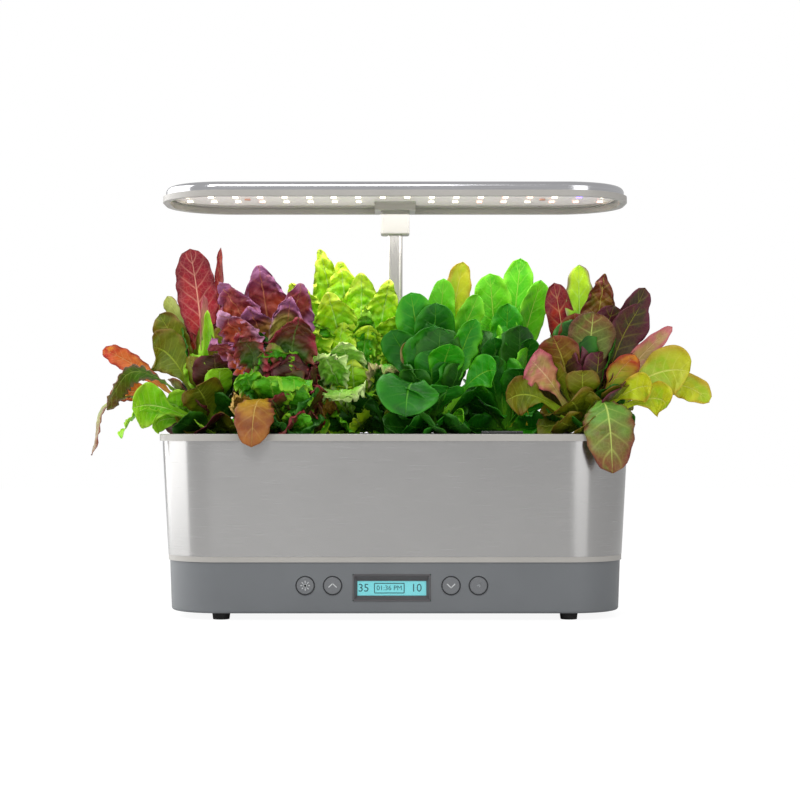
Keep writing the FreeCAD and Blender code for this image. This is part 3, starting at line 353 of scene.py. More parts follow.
make_all(porous, {
    "filter_sponge": ((12, 12, 12), (60, 60, 60), 0.0012),
    "sponge_peat": ((28, 20, 14), (84, 66, 50), 0.0011),
    "float_foam": ((196, 92, 30), (232, 128, 56), 0.0007),
})
print("all finishes", len(finishes))

# %% [markdown]
# The record says which finish each solid takes, so dressing the solids is one short loop. The leaves
# are left out here, because they get pieces of their own.

# %% Dress the solids
dressed = [part for part in frame["record"]["subparts"] if not part["material_slot"].startswith("leaf_")]
for part in dressed:
    mesh = nodes[part["node"]].data
    mesh.materials.clear()
    mesh.materials.append(finishes[part["material_slot"]])
print("dressed", len(dressed))

# %% [markdown]
# Leaves. A leaf is a flat grid that is bent along a spine: the spine is a curve from the crown over a
# knee to the tip, the blade widens from a narrow stalk and closes at the tip, its halves fold up from
# the midrib, and its edge is longer than its middle, so it waves. Each kind of lettuce has its own
# numbers for these, and each leaf has its own tip, width and way of facing, read off the picture.

# %% Kinds of leaf
# Each kind: where the blade starts along the spine and where it is widest, how full its tip is and how
# wide the tip stays, how far the halves fold up, the height and length of the ruffle, the height of the
# blisters and how far the tip curls over, all three in millimetres, and the fineness of its grid.
kind_numbers = ("start", "widest", "full", "tip", "fold", "ruffle", "length", "blister", "curl", "grid")
kinds = {name: dict(zip(kind_numbers, numbers)) for name, numbers in {
    "romaine": (0.26, 0.62, 2.6, 0.0, 0.26, 1.3, 17.0, 0.7, 5.0, (14, 44)),
    "pointed": (0.3, 0.42, 1.4, 0.0, 0.4, 0.7, 20.0, 0.4, 5.0, (10, 36)),
    "frilled": (0.2, 0.72, 2.0, 0.62, 0.1, 3.8, 11.5, 3.2, 10.0, (24, 74)),
    "round": (0.36, 0.62, 2.3, 0.0, 0.18, 1.1, 30.0, 0.6, 6.0, (16, 44)),
    "hanging": (0.3, 0.6, 2.4, 0.0, -0.25, 1.6, 20.0, 1.0, 2.0, (16, 44)),
    "broad": (0.04, 0.66, 2.8, 0.0, 0.16, 1.8, 19.0, 1.2, 5.0, (12, 24)),
    "curly": (0.04, 0.68, 2.0, 0.5, 0.1, 3.6, 10.0, 2.4, 8.0, (18, 34)),
}.items()}
stalk_share = 0.2
stalk_taper = 0.5
shoulder = 0.8


def blend_colours(a, b, share):
    """A share of the way from one colour to another."""
    return [p + (q - p) * share for p, q in zip(a, b)]


def smooth_step(low, high, value):
    """0 below low, 1 above high, and a soft rise between them."""
    t = min(max((value - low) / (high - low), 0.0), 1.0)
    return t * t * (3 - 2 * t)


def half_width(kind, u):
    """The blade's half width at a share u of its length, against its widest."""
    t = min(max((u - kind["start"]) / (1 - kind["start"]), 0.0), 1.0)
    stalk = stalk_share * (1 - stalk_taper * u)
    if t < kind["widest"]:
        return max(smooth_step(0.0, 1.0, t / kind["widest"]) ** shoulder, stalk)
    past = (t - kind["widest"]) / (1 - kind["widest"])
    closing = math.sqrt(max(1 - past ** kind["full"], 0.0))
    return kind["tip"] + (1 - kind["tip"]) * closing


print("kinds of leaf", len(kinds))

# %% [markdown]
# The colour of a leaf is worked out at each point and kept on the mesh as an attribute, because it
# follows the leaf and not space: a tone at the stalk, one in the middle, one at the tip, another along
# the edge, and blotches. The veins come later, in the finish, from the leaf's own UV map.

# %% Colour of one point of a leaf
# Every use of noise has its own fineness, in clouds per millimetre, and some a place of their own in
# it, so that no two follow each other. The first two are for the colour, the others for the shape.
clouds = {
    "patch": (0.05, Vector((0, 0, 0))),
    "speck": (0.16, Vector((9.1, 4.7, 2.3))),
    "wave_step": (0.045, Vector((0, 0, 7.7))),
    "wave_height": (0.04, Vector((3.3, 0, 0))),
    "blister": (0.13, Vector((0, 0, 0))),
    "pimple": (0.3, Vector((0, 0, 0))),
    "slouch": (0.018, Vector((0, 5.5, 0))),
}
# Zones run from 0 to 1: the middle and the tip along the leaf, the rim from the midrib to the edge.
middle_zone = (0.08, 0.5)
tip_zone = (0.5, 0.98)
rim_zone = (0.6, 1.05)
blotch_zone = (-0.05, 0.4)
blotch_share = 0.6
rim_share = 0.85
mottle = 0.2


def cloud(name, spot):
    """Smooth noise between about -1 and 1 at a spot of a leaf."""
    fineness, apart = clouds[name]
    return noise.noise(spot * fineness + apart)


def leaf_colour(leaf, shades, spot, u, edge, blade):
    """The tone at a point, from its place in the leaf and two sizes of cloud."""
    patch, speck = cloud("patch", spot), cloud("speck", spot)
    colour = blend_colours(shades["low"], shades["middle"], smooth_step(*middle_zone, u + patch * 0.12))
    colour = blend_colours(colour, shades["tip"], smooth_step(*tip_zone, u + patch * 0.2))
    blotch = smooth_step(*blotch_zone, patch + speck * 0.5) * leaf["blotches"] * blade
    colour = blend_colours(colour, shades["blotch"], blotch)
    rim = smooth_step(*rim_zone, edge + patch * 0.3 + speck * 0.12)
    colour = blend_colours(colour, shades["edge"], rim * blade * rim_share)
    light = 1 + mottle * speck
    return [c * light for c in colour[:3]] + [1.0]


print("uses of noise", len(clouds))

# %% [markdown]
# The ruffle of the edge is what tells the lettuces apart. It is a wave that runs along the margin and
# dies away towards the midrib, with a shorter wave on top of it. On a frilled leaf it also runs over
# the tip, which there stays more than half as wide as the blade and is just as wavy.

# %% Grow one leaf
# Ruffle: how fast it dies away from the edge, how much the outline slows the wave, how far the two
# halves and two leaves are out of step, the shorter wave's height and pace, and the pull in the
# leaf's own plane, which is weaker where the tip is wide.
edge_power = 2.2
outline_share = 0.7
half_step = 11.0
leaf_step = 5.1
stray_step = 7.0
short_wave, short_pace = 0.45, 2.3
pull_share, pull_loss, pull_pace = 0.45, 0.4, 1.15
# Blade: where it starts against its kind's number, and the powers of its fold and its curl.
blade_start, blade_rise = 0.6, 0.2
fold_power = curl_power = 1.5
droop_share = 0.35
slouch_least, slouch_more = 5.0, 12.0
top_rounding = 0.16
# Zones along the leaf: the ruffled, pulled and edge-coloured part of a wide tip, and where the tip
# curls and droops.
ruffled_tip, pulled_tip, coloured_tip = (0.72, 1.0), (0.8, 1.0), (0.7, 1.0)
curl_zone, droop_zone = (0.6, 1.0), (0.75, 1.0)
# How far apart two leaves lie in the noise, in millimetres.
leaf_apart = (61.7, 17.3, 8.9)


def grow_leaf(form, layers, foot, leaf, seed):
    """Adds one leaf to a bmesh, from its foot in millimetres."""
    kind = kinds[leaf["kind"]]
    x, y, up = leaf["tip"]
    tip = foot + Vector(leaf["tip"])
    knee = foot + Vector((x * leaf["reach"], y * leaf["reach"], up / 2 + leaf["lift"]))
    side_first = Vector(leaf["side"]).normalized()
    made = bmesh.ops.create_grid(form, x_segments=leaf["grid"][0], y_segments=leaf["grid"][1], size=1.0)
    shades = {name: linear(*tone) for name, tone in leaf["colours"].items()}
    half = leaf["width"] / 2
    length = (knee - foot).length + (tip - knee).length
    ruffle = kind["ruffle"] * leaf["ruffled"]
    curl, wide_tip = kind["curl"], kind["tip"]
    for vert in made["verts"]:
        v = vert.co.x
        edge = abs(v)
        row = (vert.co.y + 1) / 2
        u = row * (1 - top_rounding * v * v * row * wide_tip * 2)
        place = foot * (1 - u) ** 2 + knee * (2 * u * (1 - u)) + tip * u ** 2
        along = ((knee - foot) * (1 - u) + (tip - knee) * u).normalized()
        side = (side_first - along * side_first.dot(along)).normalized()
        normal = side.cross(along)
        wide = half * half_width(kind, row)
        blade = smooth_step(kind["start"] * blade_start, kind["start"] + blade_rise, row)
        spot = Vector([a + seed * b for a, b in zip((v * wide, u * length, 0), leaf_apart)])
        margin = max(edge ** edge_power, smooth_step(*ruffled_tip, row) * wide_tip) * blade
        run = u * length + edge * wide * outline_share + (half_step if v > 0 else 0.0) + seed * leaf_step
        turn = 2 * math.pi * run / kind["length"] + wide_tip * stray_step * cloud("wave_step", spot)
        wander = 1 + cloud("wave_height", spot)
        ripple = math.sin(turn) + short_wave * math.sin(turn * short_pace + seed)
        wave = ruffle * margin * wander * ripple
        pull = ruffle * margin * (pull_share - pull_loss * wide_tip) * math.cos(turn * pull_pace + seed)
        bulge = abs(cloud("blister", spot)) * 2 - 0.4 + cloud("pimple", spot) * 0.5
        blister = kind["blister"] * blade * bulge
        slouch = cloud("slouch", spot) * (slouch_least + slouch_more * wide_tip) * u
        fold = kind["fold"] * edge ** fold_power * wide
        lift = fold + wave + blister + slouch + curl * smooth_step(*curl_zone, u) ** curl_power
        drop = along * (-curl * droop_share * smooth_step(*droop_zone, u))
        out = side * (wide * v + (pull if v > 0 else -pull))
        stretch = along * (pull * wide_tip * smooth_step(*pulled_tip, row))
        vert.co = (place + out + normal * lift + drop + stretch) * MM
        rim = max(edge, smooth_step(*coloured_tip, row) * wide_tip * 1.5)
        vert[layers["tint"]] = leaf_colour(leaf, shades, spot, u, rim, blade)
        vert[layers["rib"]] = shades["rib"]
        for loop in vert.link_loops:
            loop[layers["uv"]].uv = (v / 2 + 0.5, u)


print("leaves can grow")

# %% [markdown]
# A plant is three meshes: its outer leaves, each placed after the picture, the leaves of its heart,
# which fill the middle, and a skirt of low leaves, which hides its foot. All share the plant's finish.
# Solidify gives them the thickness of a real leaf. The stalks stand in a small ring on the collar of
# their pod, each a little higher than the last.

# %% Grow a plant
leaf_sheet = 0.45 * MM
weld_distance = 0.02 * MM
crown_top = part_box("pod_collars")[1].z / MM
stalk_low = 0.4
stalk_step = 0.2
stalk_spread = 3.0


def grow_leaves(name, node, slot, place, leaves, first_seed):
    """Grows a set of leaves as one piece of a plant, in place of the plant's solid."""
    mesh = bpy.data.meshes.new(name)
    form = bmesh.new()
    layers = {tone: form.verts.layers.float_color.new(tone) for tone in ("tint", "rib")}
    layers["uv"] = form.loops.layers.uv.new("leaf")
    for k, leaf in enumerate(leaves):
        x, y = leaf["tip"][:2]
        out = max(math.hypot(x, y), 1.0)
        foot = Vector((place[0] + x * stalk_spread / out, place[1] + y * stalk_spread / out,
                       crown_top + stalk_low + stalk_step * k))
        grow_leaf(form, layers, foot, leaf, first_seed + k)
    bmesh.ops.remove_doubles(form, verts=form.verts, dist=weld_distance)
    form.to_mesh(mesh)
    form.free()
    plant = placed(name, mesh)
    mesh.materials.append(finishes[slot])
    mesh.shade_smooth()
    body = plant.modifiers.new("leaf_thickness", "SOLIDIFY")
    body.thickness = leaf_sheet
    body.offset = 0.0
    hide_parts(node)
    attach(plant, "planter")
    print(name, "leaves", len(leaves), "faces", len(mesh.polygons))


print("crown at", round(crown_top, 1), "mm")

# %% [markdown]
# The veins are drawn by the finish. On the leaf's UV map the midrib is the line u = 0.5, broad at the
# stalk and fine at the tip, and the side veins leave it at a slant, which is a wave of v minus the
# distance from the midrib. They are paler than the leaf and lie in grooves, and the skin puffs up in
# the meshes of a fine net between them.

# %% Leaf finish
midrib_wide, midrib_taper = 0.068, 0.058
vein_slant = 0.22
vein_wobble = 0.02
vein_sharpness = 8.0
net_cells = 230.0
net_share = 0.2


def leaf_finish(name, gloss, veins, vein_share, pucker_depth):
    """The finish of one plant's leaves: how rough, how many veins and how plain, how deep its puckers."""
    finish = Finish(name, (90, 140, 60), Roughness=gloss, Specular_IOR_Level=0.3)
    tint = finish.node("ShaderNodeAttribute", {"attribute_name": "tint"})
    rib = finish.node("ShaderNodeAttribute", {"attribute_name": "rib"})
    uv = finish.node("ShaderNodeUVMap", {"uv_map": "leaf"})
    across = finish.node("ShaderNodeSeparateXYZ", values=[uv], output=0)
    along = finish.node("ShaderNodeSeparateXYZ", values=[uv], output=1)
    off = finish.maths("ABSOLUTE", across - 0.5)
    wobble = finish.grain(70.0, 2.0)
    midrib = finish.rest(off / (midrib_wide - along * midrib_taper))
    slant = (along - off * vein_slant + wobble * vein_wobble) * veins
    stripe = finish.maths("PINGPONG", slant, 0.5)
    branch = finish.rest(stripe * vein_sharpness) * (1.0 - off * 1.8)
    net = finish.node("ShaderNodeTexVoronoi", {"feature": "DISTANCE_TO_EDGE"},
                      {"Vector": finish.place(), "Scale": net_cells})
    fine = finish.rest(net * vein_sharpness) * (vein_share * net_share)
    shown = midrib * 0.9
    for lines in (branch * vein_share, fine):
        shown = finish.maths("MAXIMUM", shown, lines)
    colour = finish.node("ShaderNodeMix", {"data_type": "RGBA"}, {0: shown, 6: tint, 7: rib}, output=2)
    finish.feed("Base Color", colour)
    finish.feed("Roughness", finish.span(wobble, gloss - 0.1, gloss + 0.12))
    height = net * 0.6 - branch * 0.5 - midrib
    finish.feed("Normal", finish.bump(height, pucker_depth, 0.7))
    return finish.material


make_all(leaf_finish, {
    "leaf_red": (0.42, 13.0, 0.4, 0.0006),
    "leaf_purple": (0.44, 9.0, 0.25, 0.0008),
    "leaf_lime": (0.44, 9.0, 0.3, 0.0008),
    "leaf_green": (0.4, 10.0, 0.25, 0.0005),
    "leaf_bright": (0.42, 13.0, 0.3, 0.0006),
    "leaf_bronze": (0.42, 10.0, 0.35, 0.0005),
})

# %% [markdown]
# Colours come in families. Most are named for what they are on the plant. Two are darker copies of a
# green and a red with painted shade in them, for the leaves inside a plant and under it. A leaf takes one
# family and changes single tones where the picture shows it.

# %% Leaf colours
tone_names = ("low", "middle", "tip", "edge", "rib", "blotch")
families = {
    "deep_red": ((150, 160, 30), (150, 20, 36), (120, 12, 32), (96, 8, 28),
                 (240, 190, 130), (180, 56, 24)),
    "red_green": ((150, 200, 40), (96, 140, 16), (120, 70, 40), (126, 40, 50),
                  (200, 220, 110), (60, 112, 10)),
    "lime": ((170, 220, 60), (126, 208, 12), (150, 216, 30), (172, 218, 60),
             (206, 240, 120), (84, 178, 4)),
    "olive": ((150, 190, 40), (108, 124, 10), (114, 104, 14), (112, 78, 22), (172, 190, 60), (72, 102, 8)),
    "orange": ((200, 200, 80), (208, 112, 30), (190, 44, 30), (150, 24, 34),
               (236, 170, 110), (222, 160, 30)),
    "purple": ((120, 150, 20), (196, 84, 14), (120, 36, 66), (182, 118, 166),
               (206, 130, 90), (92, 18, 30)),
    "dark_red": ((60, 120, 10), (40, 84, 10), (112, 24, 30), (156, 44, 62), (92, 122, 50), (72, 20, 20)),
    "tan": ((150, 160, 40), (172, 132, 30), (206, 172, 80), (218, 178, 100),
            (206, 170, 90), (112, 52, 12)),
    "citrus": ((150, 212, 50), (140, 212, 12), (190, 228, 20), (216, 238, 74),
               (196, 240, 130), (84, 182, 4)),
    "pastel": ((150, 212, 60), (130, 208, 40), (188, 230, 112), (218, 238, 160),
               (206, 240, 150), (90, 182, 12)),
    "green": ((130, 190, 40), (62, 152, 8), (84, 174, 12), (150, 206, 40), (140, 200, 60), (30, 112, 4)),
    "deep_green": ((90, 170, 30), (16, 100, 4), (22, 110, 6), (46, 136, 12), (84, 160, 36), (8, 70, 2)),
    "emerald": ((120, 190, 30), (34, 142, 6), (42, 152, 8), (80, 174, 20), (124, 192, 50), (16, 112, 4)),
    "bright": ((150, 216, 40), (84, 188, 12), (100, 202, 16), (132, 216, 40),
               (186, 230, 90), (50, 152, 4)),
    "bronze": ((150, 180, 30), (122, 106, 20), (122, 50, 30), (112, 30, 40),
               (190, 180, 70), (80, 102, 12)),
    "dark_bronze": ((120, 140, 20), (64, 50, 22), (84, 22, 42), (104, 32, 62),
                    (152, 150, 44), (42, 60, 16)),
    "pink": ((170, 200, 80), (192, 132, 90), (202, 112, 120), (182, 72, 100),
             (226, 190, 140), (142, 150, 50)),
    "yellow": ((180, 212, 40), (190, 208, 20), (198, 198, 30), (192, 152, 40),
               (226, 230, 110), (130, 182, 12)),
    # Painted shade: the two families below are darker green and red tones for leaves inside and under a
    # plant.
    "heart_green": ((90, 150, 20), (24, 84, 8), (30, 96, 10), (52, 116, 18), (72, 132, 36), (12, 50, 6)),
    "heart_red": ((110, 130, 24), (62, 34, 16), (82, 20, 28), (92, 26, 38), (122, 100, 54), (36, 46, 12)),
}


def one(kind, tip, lift, reach, width, family, side=0, /, *, grid=None, ruffled=1.0,
        blotches=blotch_share, **tones):
    """One leaf, in millimetres from its foot: its tip, width and colours, and its side, which is the
    direction across the blade, or only the slant of one along X. Its knee stands at a share of the
    tip's reach, and by a lift above half the tip's height."""
    side = side if isinstance(side, tuple) else (1, side, 0)
    return dict(kind=kind, tip=tip, lift=lift, reach=reach, width=width, side=side, ruffled=ruffled,
                grid=grid or kinds[kind]["grid"], blotches=blotches,
                colours=dict(zip(tone_names, families[family])) | tones)


romaine, pointed, frilled, rounded, hanging = [
    partial(one, kind) for kind in ("romaine", "pointed", "frilled", "round", "hanging")]
print("families", len(families))

# %% [markdown]
# The heart of a lettuce is a spiral of leaves, each turned on from the last by the golden angle, which
# is how plants place them. The inner ones stand up and the outer ones lean out over the deck. The
# skirt is three rings of low leaves, made uneven by slow waves. No leaf is grown where the fill door
# swings or where the mast stands.

# %% Heart and skirt of a plant
golden_angle = math.radians(137.5)
heart_grid = (10, 26)
heart_inner, heart_outer = 0.18, 0.82
heart_drop, heart_drop_power = 0.72, 1.3
heart_lift, heart_reach = 14, 0.45
heart_narrow, heart_widening = 0.8, 0.3
heart_ruffled = 0.7
skirt_reach = 0.5
skirt_ruffled = 0.8
ring_turn = 0.37
ring_twist = (0.9, 0.6, 0.35)
# Unevenness of the skirt: how much, and how fast it changes from leaf to leaf.
uneven_turn, uneven_out, uneven_up = (0.2, 5.0), (0.14, 3.0), (0.25, 2.0)
door_low, door_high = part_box("fill_door")
mast_low, mast_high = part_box("mast_head")
door_margin = 16.0
door_reach = 70.0
mast_margin = 14.0


def in_the_way(x, y, up):
    """Whether a leaf that ends over this place, in millimetres, would meet the door or the mast."""
    by_door = (door_low.x / MM - door_margin < x < door_high.x / MM + door_margin
               and door_low.y / MM - door_margin < y < door_high.y / MM + door_margin and up < door_reach)
    by_mast = (mast_low.x / MM - mast_margin < x < mast_high.x / MM + mast_margin
               and y > mast_low.y / MM - mast_margin)
    return by_door or by_mast


def leaning(leaves, place, turn, out, up, lift, reach, width, kind, family, twist, **more):
    """Adds a leaf that leans out in one direction, unless something is in the way there."""
    tip = (out * math.cos(turn), out * math.sin(turn), up)
    if not in_the_way(place[0] + tip[0], place[1] + tip[1], up):
        side = (math.sin(turn), -math.cos(turn), twist)
        leaves.append(one(kind, tip, lift, reach, width, family, side, **more))


def heart(place, kind, tones, count, height, spread, width, first_turn):
    """A spiral of leaves, from tall ones in the middle to low ones outside."""
    leaves = []
    for k in range(count):
        share = (k + 0.5) / count
        out = spread * (heart_inner + heart_outer * share)
        up = height * (1 - heart_drop * share ** heart_drop_power)
        leaning(leaves, place, first_turn + k * golden_angle, out, up, heart_lift * share, heart_reach,
                width * (heart_narrow + heart_widening * share), kind, tones[k % len(tones)], 0,
                grid=heart_grid, ruffled=heart_ruffled)
    return leaves


def skirt(place, kind, tones, rings, first_turn):
    """Rings of low broad leaves round the foot of a plant, which hide its stalks and the deck."""
    leaves = []
    for ring, (count, spread, up, lift, width) in enumerate(rings):
        for k in range(count):
            sway = uneven_turn[0] * math.sin(uneven_turn[1] * k + ring)
            turn = first_turn + ring * ring_turn + 2 * math.pi * k / count + sway
            out = spread * (1 + uneven_out[0] * math.sin(uneven_out[1] * k + first_turn))
            height = up * (1 + uneven_up[0] * math.sin(uneven_up[1] * k + ring + first_turn))
            leaning(leaves, place, turn, out, height, lift, skirt_reach, width, kind,
                    tones[(k + ring) % len(tones)], ring_twist[ring] * (-1) ** k, ruffled=skirt_ruffled)
    return leaves


print("clear of", [round(c, 3) for c in door_low], [round(c, 3) for c in mast_low])

# %% [markdown]
# Red romaine, at the far left: tall folded leaves of deep red with pale pink ribs in the middle, and
# green leaves that lean far out over the rim to the left.

# %% Red romaine
left_out = (0.25, -1, 0.1)
red_romaine = [
    romaine((-20, 6, 179), 8, 0.3, 38, "deep_red", blotches=0.2, rib=(236, 176, 150)),
    pointed((8, 12, 180), 4, 0.3, 14, "deep_red", -0.6),
    romaine((-41, 12, 134), 6, 0.3, 22, "red_green", -0.6, tip=(176, 180, 90)),
    pointed((-8, -18, 132), 4, 0.3, 15, "pink", 0.6, middle=(150, 176, 90)),
    pointed((-2, -26, 118), 2, 0.4, 13, "lime"),
    romaine((-101, -34, 21), 92, 0.7, 36, "red_green", (0, -1, 0.6), edge=(150, 104, 104)),
    romaine((-107, 22, 80), 26, 0.6, 20, "orange", (0.3, 0, 1)),
    romaine((-56, -6, 80), 46, 0.6, 44, "olive", (0.6, 0, 1)),
    rounded((-74, -46, 22), 22, 0.6, 44, "lime", (0.3, 0, 1)),
    romaine((-113, -18, -25), 92, 0.95, 24, "red_green", left_out, middle=(150, 170, 60)),
    romaine((-96, 2, 30), 40, 0.7, 18, "orange", (0.2, 0, 1)),
    romaine((14, 20, 110), 4, 0.3, 30, "olive"),
    romaine((-14, 64, 62), 30, 0.6, 34, "red_green"),
    romaine((-50, 8, 112), 20, 0.5, 30, "olive", (1, 0, 0.4)),
    romaine((-30, 10, 96), 10, 0.5, 34, "deep_red", -0.3, blotches=0.8),
    rounded((-58, -24, 4), 16, 0.6, 22, "lime", (0.3, -0.4, 1)),
    hanging((-82, -50, -8), 40, 0.8, 20, "lime", (0.5, -0.8, 0.5)),
    romaine((-16, -10, 70), 4, 0.4, 26, "lime"),
    romaine((6, 4, 84), 4, 0.4, 24, "red_green"),
]

# %% [markdown]
# Red leaf lettuce: short, broad and frilled, purple at the edges and orange and green inside, with one
# leaf that hangs over the rim in front.

# %% Red leaf lettuce
red_leaf = [
    frilled((-47, 8, 146), 6, 0.5, 46, "purple", -0.6),
    frilled((-20, 4, 159), 4, 0.3, 48, "purple"),
    frilled((9, -4, 142), 4, 0.3, 44, "purple", 0.4),
    frilled((14, -36, 112), 10, 0.5, 44, "dark_red", 0.3),
    frilled((-33, -40, 98), 10, 0.6, 30, "dark_red", -0.5),
    frilled((14, -44, 46), 26, 0.6, 38, "green"),
    hanging((-23, -60, -15), 74, 0.95, 36, "tan", (-1, 0, 0), tip=(150, 84, 34), edge=(118, 54, 28)),
    frilled((-60, -4, 94), 12, 0.5, 34, "purple", (0.6, -1, 0)),
    frilled((-50, -26, 24), 20, 0.6, 22, "tan", (0.3, -0.5, 1)),
    frilled((-8, -30, 86), 6, 0.4, 40, "green", 0.1, edge=(132, 60, 52)),
    frilled((-52, -16, 118), 8, 0.4, 44, "purple", -0.5, edge=(206, 150, 186)),
    frilled((-26, -12, 120), 8, 0.4, 40, "purple", -0.2, middle=(190, 150, 60)),
    frilled((6, -22, 128), 6, 0.4, 34, "purple", 0.2, middle=(170, 170, 60)),
    frilled((-36, -30, 60), 12, 0.6, 30, "green", (1, -0.3, 0.2)),
]

# %% [markdown]
# Green leaf lettuce: the broadest plant, a crumpled mass of yellow-green leaves with ruffled edges.

# %% Green leaf lettuce
green_leaf = [
    frilled((-35, 6, 179), 2, 0.4, 36, "citrus"),
    frilled((-15, 4, 167), 2, 0.3, 44, "citrus"),
    frilled((2, -4, 156), 2, 0.3, 48, "citrus"),
    frilled((-58, 2, 148), 4, 0.5, 44, "citrus", -0.4),
    frilled((-27, -20, 138), 6, 0.4, 46, "citrus"),
    frilled((28, -14, 149), 6, 0.5, 36, "citrus"),
    frilled((8, -34, 122), 6, 0.5, 24, "green"),
    frilled((-34, -54, 82), 20, 0.6, 38, "pastel", -0.3),
    frilled((-18, -68, 36), 42, 0.7, 44, "pastel"),
    frilled((34, -50, 64), 30, 0.6, 36, "green", 0.3, edge=(190, 170, 120)),
    frilled((-46, -40, 20), 24, 0.7, 28, "tan", (0.3, -0.5, 1), edge=(126, 70, 60)),
    frilled((-34, 62, 54), 34, 0.6, 36, "citrus"),
    frilled((-48, -10, 112), 10, 0.5, 38, "green", -0.3),
    frilled((20, 10, 116), 6, 0.5, 38, "green", 0.2),
    frilled((-14, -44, 92), 12, 0.5, 36, "pastel"),
    pointed((14, -44, 36), 16, 0.6, 24, "lime"),
    frilled((-62, -8, 108), 14, 0.5, 46, "citrus", -0.5),
    frilled((44, -18, 118), 8, 0.5, 48, "citrus", 0.3),
    frilled((54, -12, 88), 16, 0.5, 46, "citrus", 0.4),
    frilled((-56, -28, 66), 18, 0.5, 44, "pastel", -0.5),
    frilled((10, -26, 104), 8, 0.4, 46, "citrus"),
]

# %% [markdown]
# Butterhead: smooth round leaves of dark green, one of them very large in front, and a few pale young
# ones that stand up behind.

# %% Butterhead
butterhead = [
    rounded((-24, -42, 12), 78, 0.9, 58, "deep_green", (-1, 0, 0.1)),
    rounded((-20, -12, 88), 6, 0.4, 24, "olive", (1, -0.4, 0.5), edge=(176, 150, 100)),
    rounded((-18, -4, 132), 6, 0.4, 36, "emerald"),
    rounded((2, -8, 122), 6, 0.4, 38, "deep_green"),
    rounded((8, 4, 145), 4, 0.3, 26, "bright"),
    romaine((26, 8, 160), 4, 0.4, 26, "yellow"),
    romaine((38, 2, 130), 4, 0.4, 26, "bright", 0.3),
    romaine((36, -22, 106), 6, 0.5, 26, "emerald", 0.3),
    rounded((60, -20, 56), 36, 0.6, 32, "emerald", (0.5, 0, -1)),
    rounded((32, -30, 8), 20, 0.7, 18, "bright", (0.3, 0.5, -1)),
    rounded((0, -20, 100), 8, 0.4, 40, "deep_green"),
    rounded((14, -30, 84), 8, 0.4, 34, "emerald", 0.2),
    rounded((-34, -6, 96), 10, 0.5, 34, "deep_green", -0.4),
]

# %% [markdown]
# Green romaine: narrow bright leaves that stand close together.

# %% Green romaine
green_romaine = [
    romaine((14, 6, 170), 4, 0.3, 32, "bright"),
    romaine((-12, -6, 154), 4, 0.4, 38, "bright"),
    romaine((30, -8, 148), 4, 0.4, 28, "bright", 0.4),
    romaine((-30, -2, 104), 6, 0.5, 28, "emerald", -0.4),
    romaine((22, -14, 92), 6, 0.5, 28, "deep_green", 0.4),
    romaine((26, -22, 14), 16, 0.7, 18, "yellow", (0.3, 0.5, -1)),
    romaine((4, 26, 118), 6, 0.4, 30, "bright"),
    romaine((14, 66, 46), 44, 0.6, 34, "bright"),
    romaine((2, -10, 124), 4, 0.4, 32, "emerald"),
    romaine((-10, -20, 92), 4, 0.4, 28, "deep_green"),
]

# %% [markdown]
# Bronze lettuce, at the far right: smooth leaves from yellow to dark red that lean out over the rim.

# %% Bronze lettuce
bronze = [
    romaine((-2, 8, 159), 2, 0.3, 26, "citrus", edge=(140, 90, 110)),
    rounded((-24, 12, 141), 4, 0.4, 26, "deep_red"),
    frilled((18, 4, 151), 4, 0.4, 34, "bronze"),
    rounded((54, 10, 138), 6, 0.5, 30, "dark_bronze", 0.5),
    rounded((48, -12, 122), 8, 0.5, 42, "dark_bronze", 0.5),
    rounded((6, -28, 113), 6, 0.5, 44, "red_green", middle=(84, 120, 44), edge=(96, 50, 44)),
    rounded((-26, -22, 92), 10, 0.5, 40, "bronze", -0.4),
    hanging((-52, -38, 66), 22, 0.6, 34, "pink", (0.5, 0, 1)),
    rounded((43, -24, 74), 10, 0.5, 30, "orange", 0.3, middle=(176, 200, 60)),
    pointed((82, 2, 98), 16, 0.5, 20, "pink", (0.6, 0, -1)),
    rounded((98, -6, 54), 42, 0.6, 46, "yellow", (0.5, 0, -1), middle=(166, 190, 56)),
    rounded((78, -26, 22), 34, 0.8, 34, "yellow", (0.5, 0, -1)),
    rounded((117, 12, 24), 60, 0.7, 26, "yellow", (0.4, 0, -1)),
    hanging((20, -56, -40), 90, 0.95, 46, "red_green", (-1, 0, 0), middle=(96, 150, 50)),
    rounded((-74, -34, 26), 34, 0.6, 38, "olive", (0.5, 0, 1)),
    rounded((24, -10, 118), 8, 0.4, 32, "dark_bronze", 0.2),
    rounded((-8, -14, 110), 6, 0.4, 34, "bronze"),
    rounded((62, -30, 40), 24, 0.6, 28, "yellow", (0.6, 0, -1)),
    rounded((44, 0, 100), 10, 0.4, 30, "dark_bronze", 0.4),
]

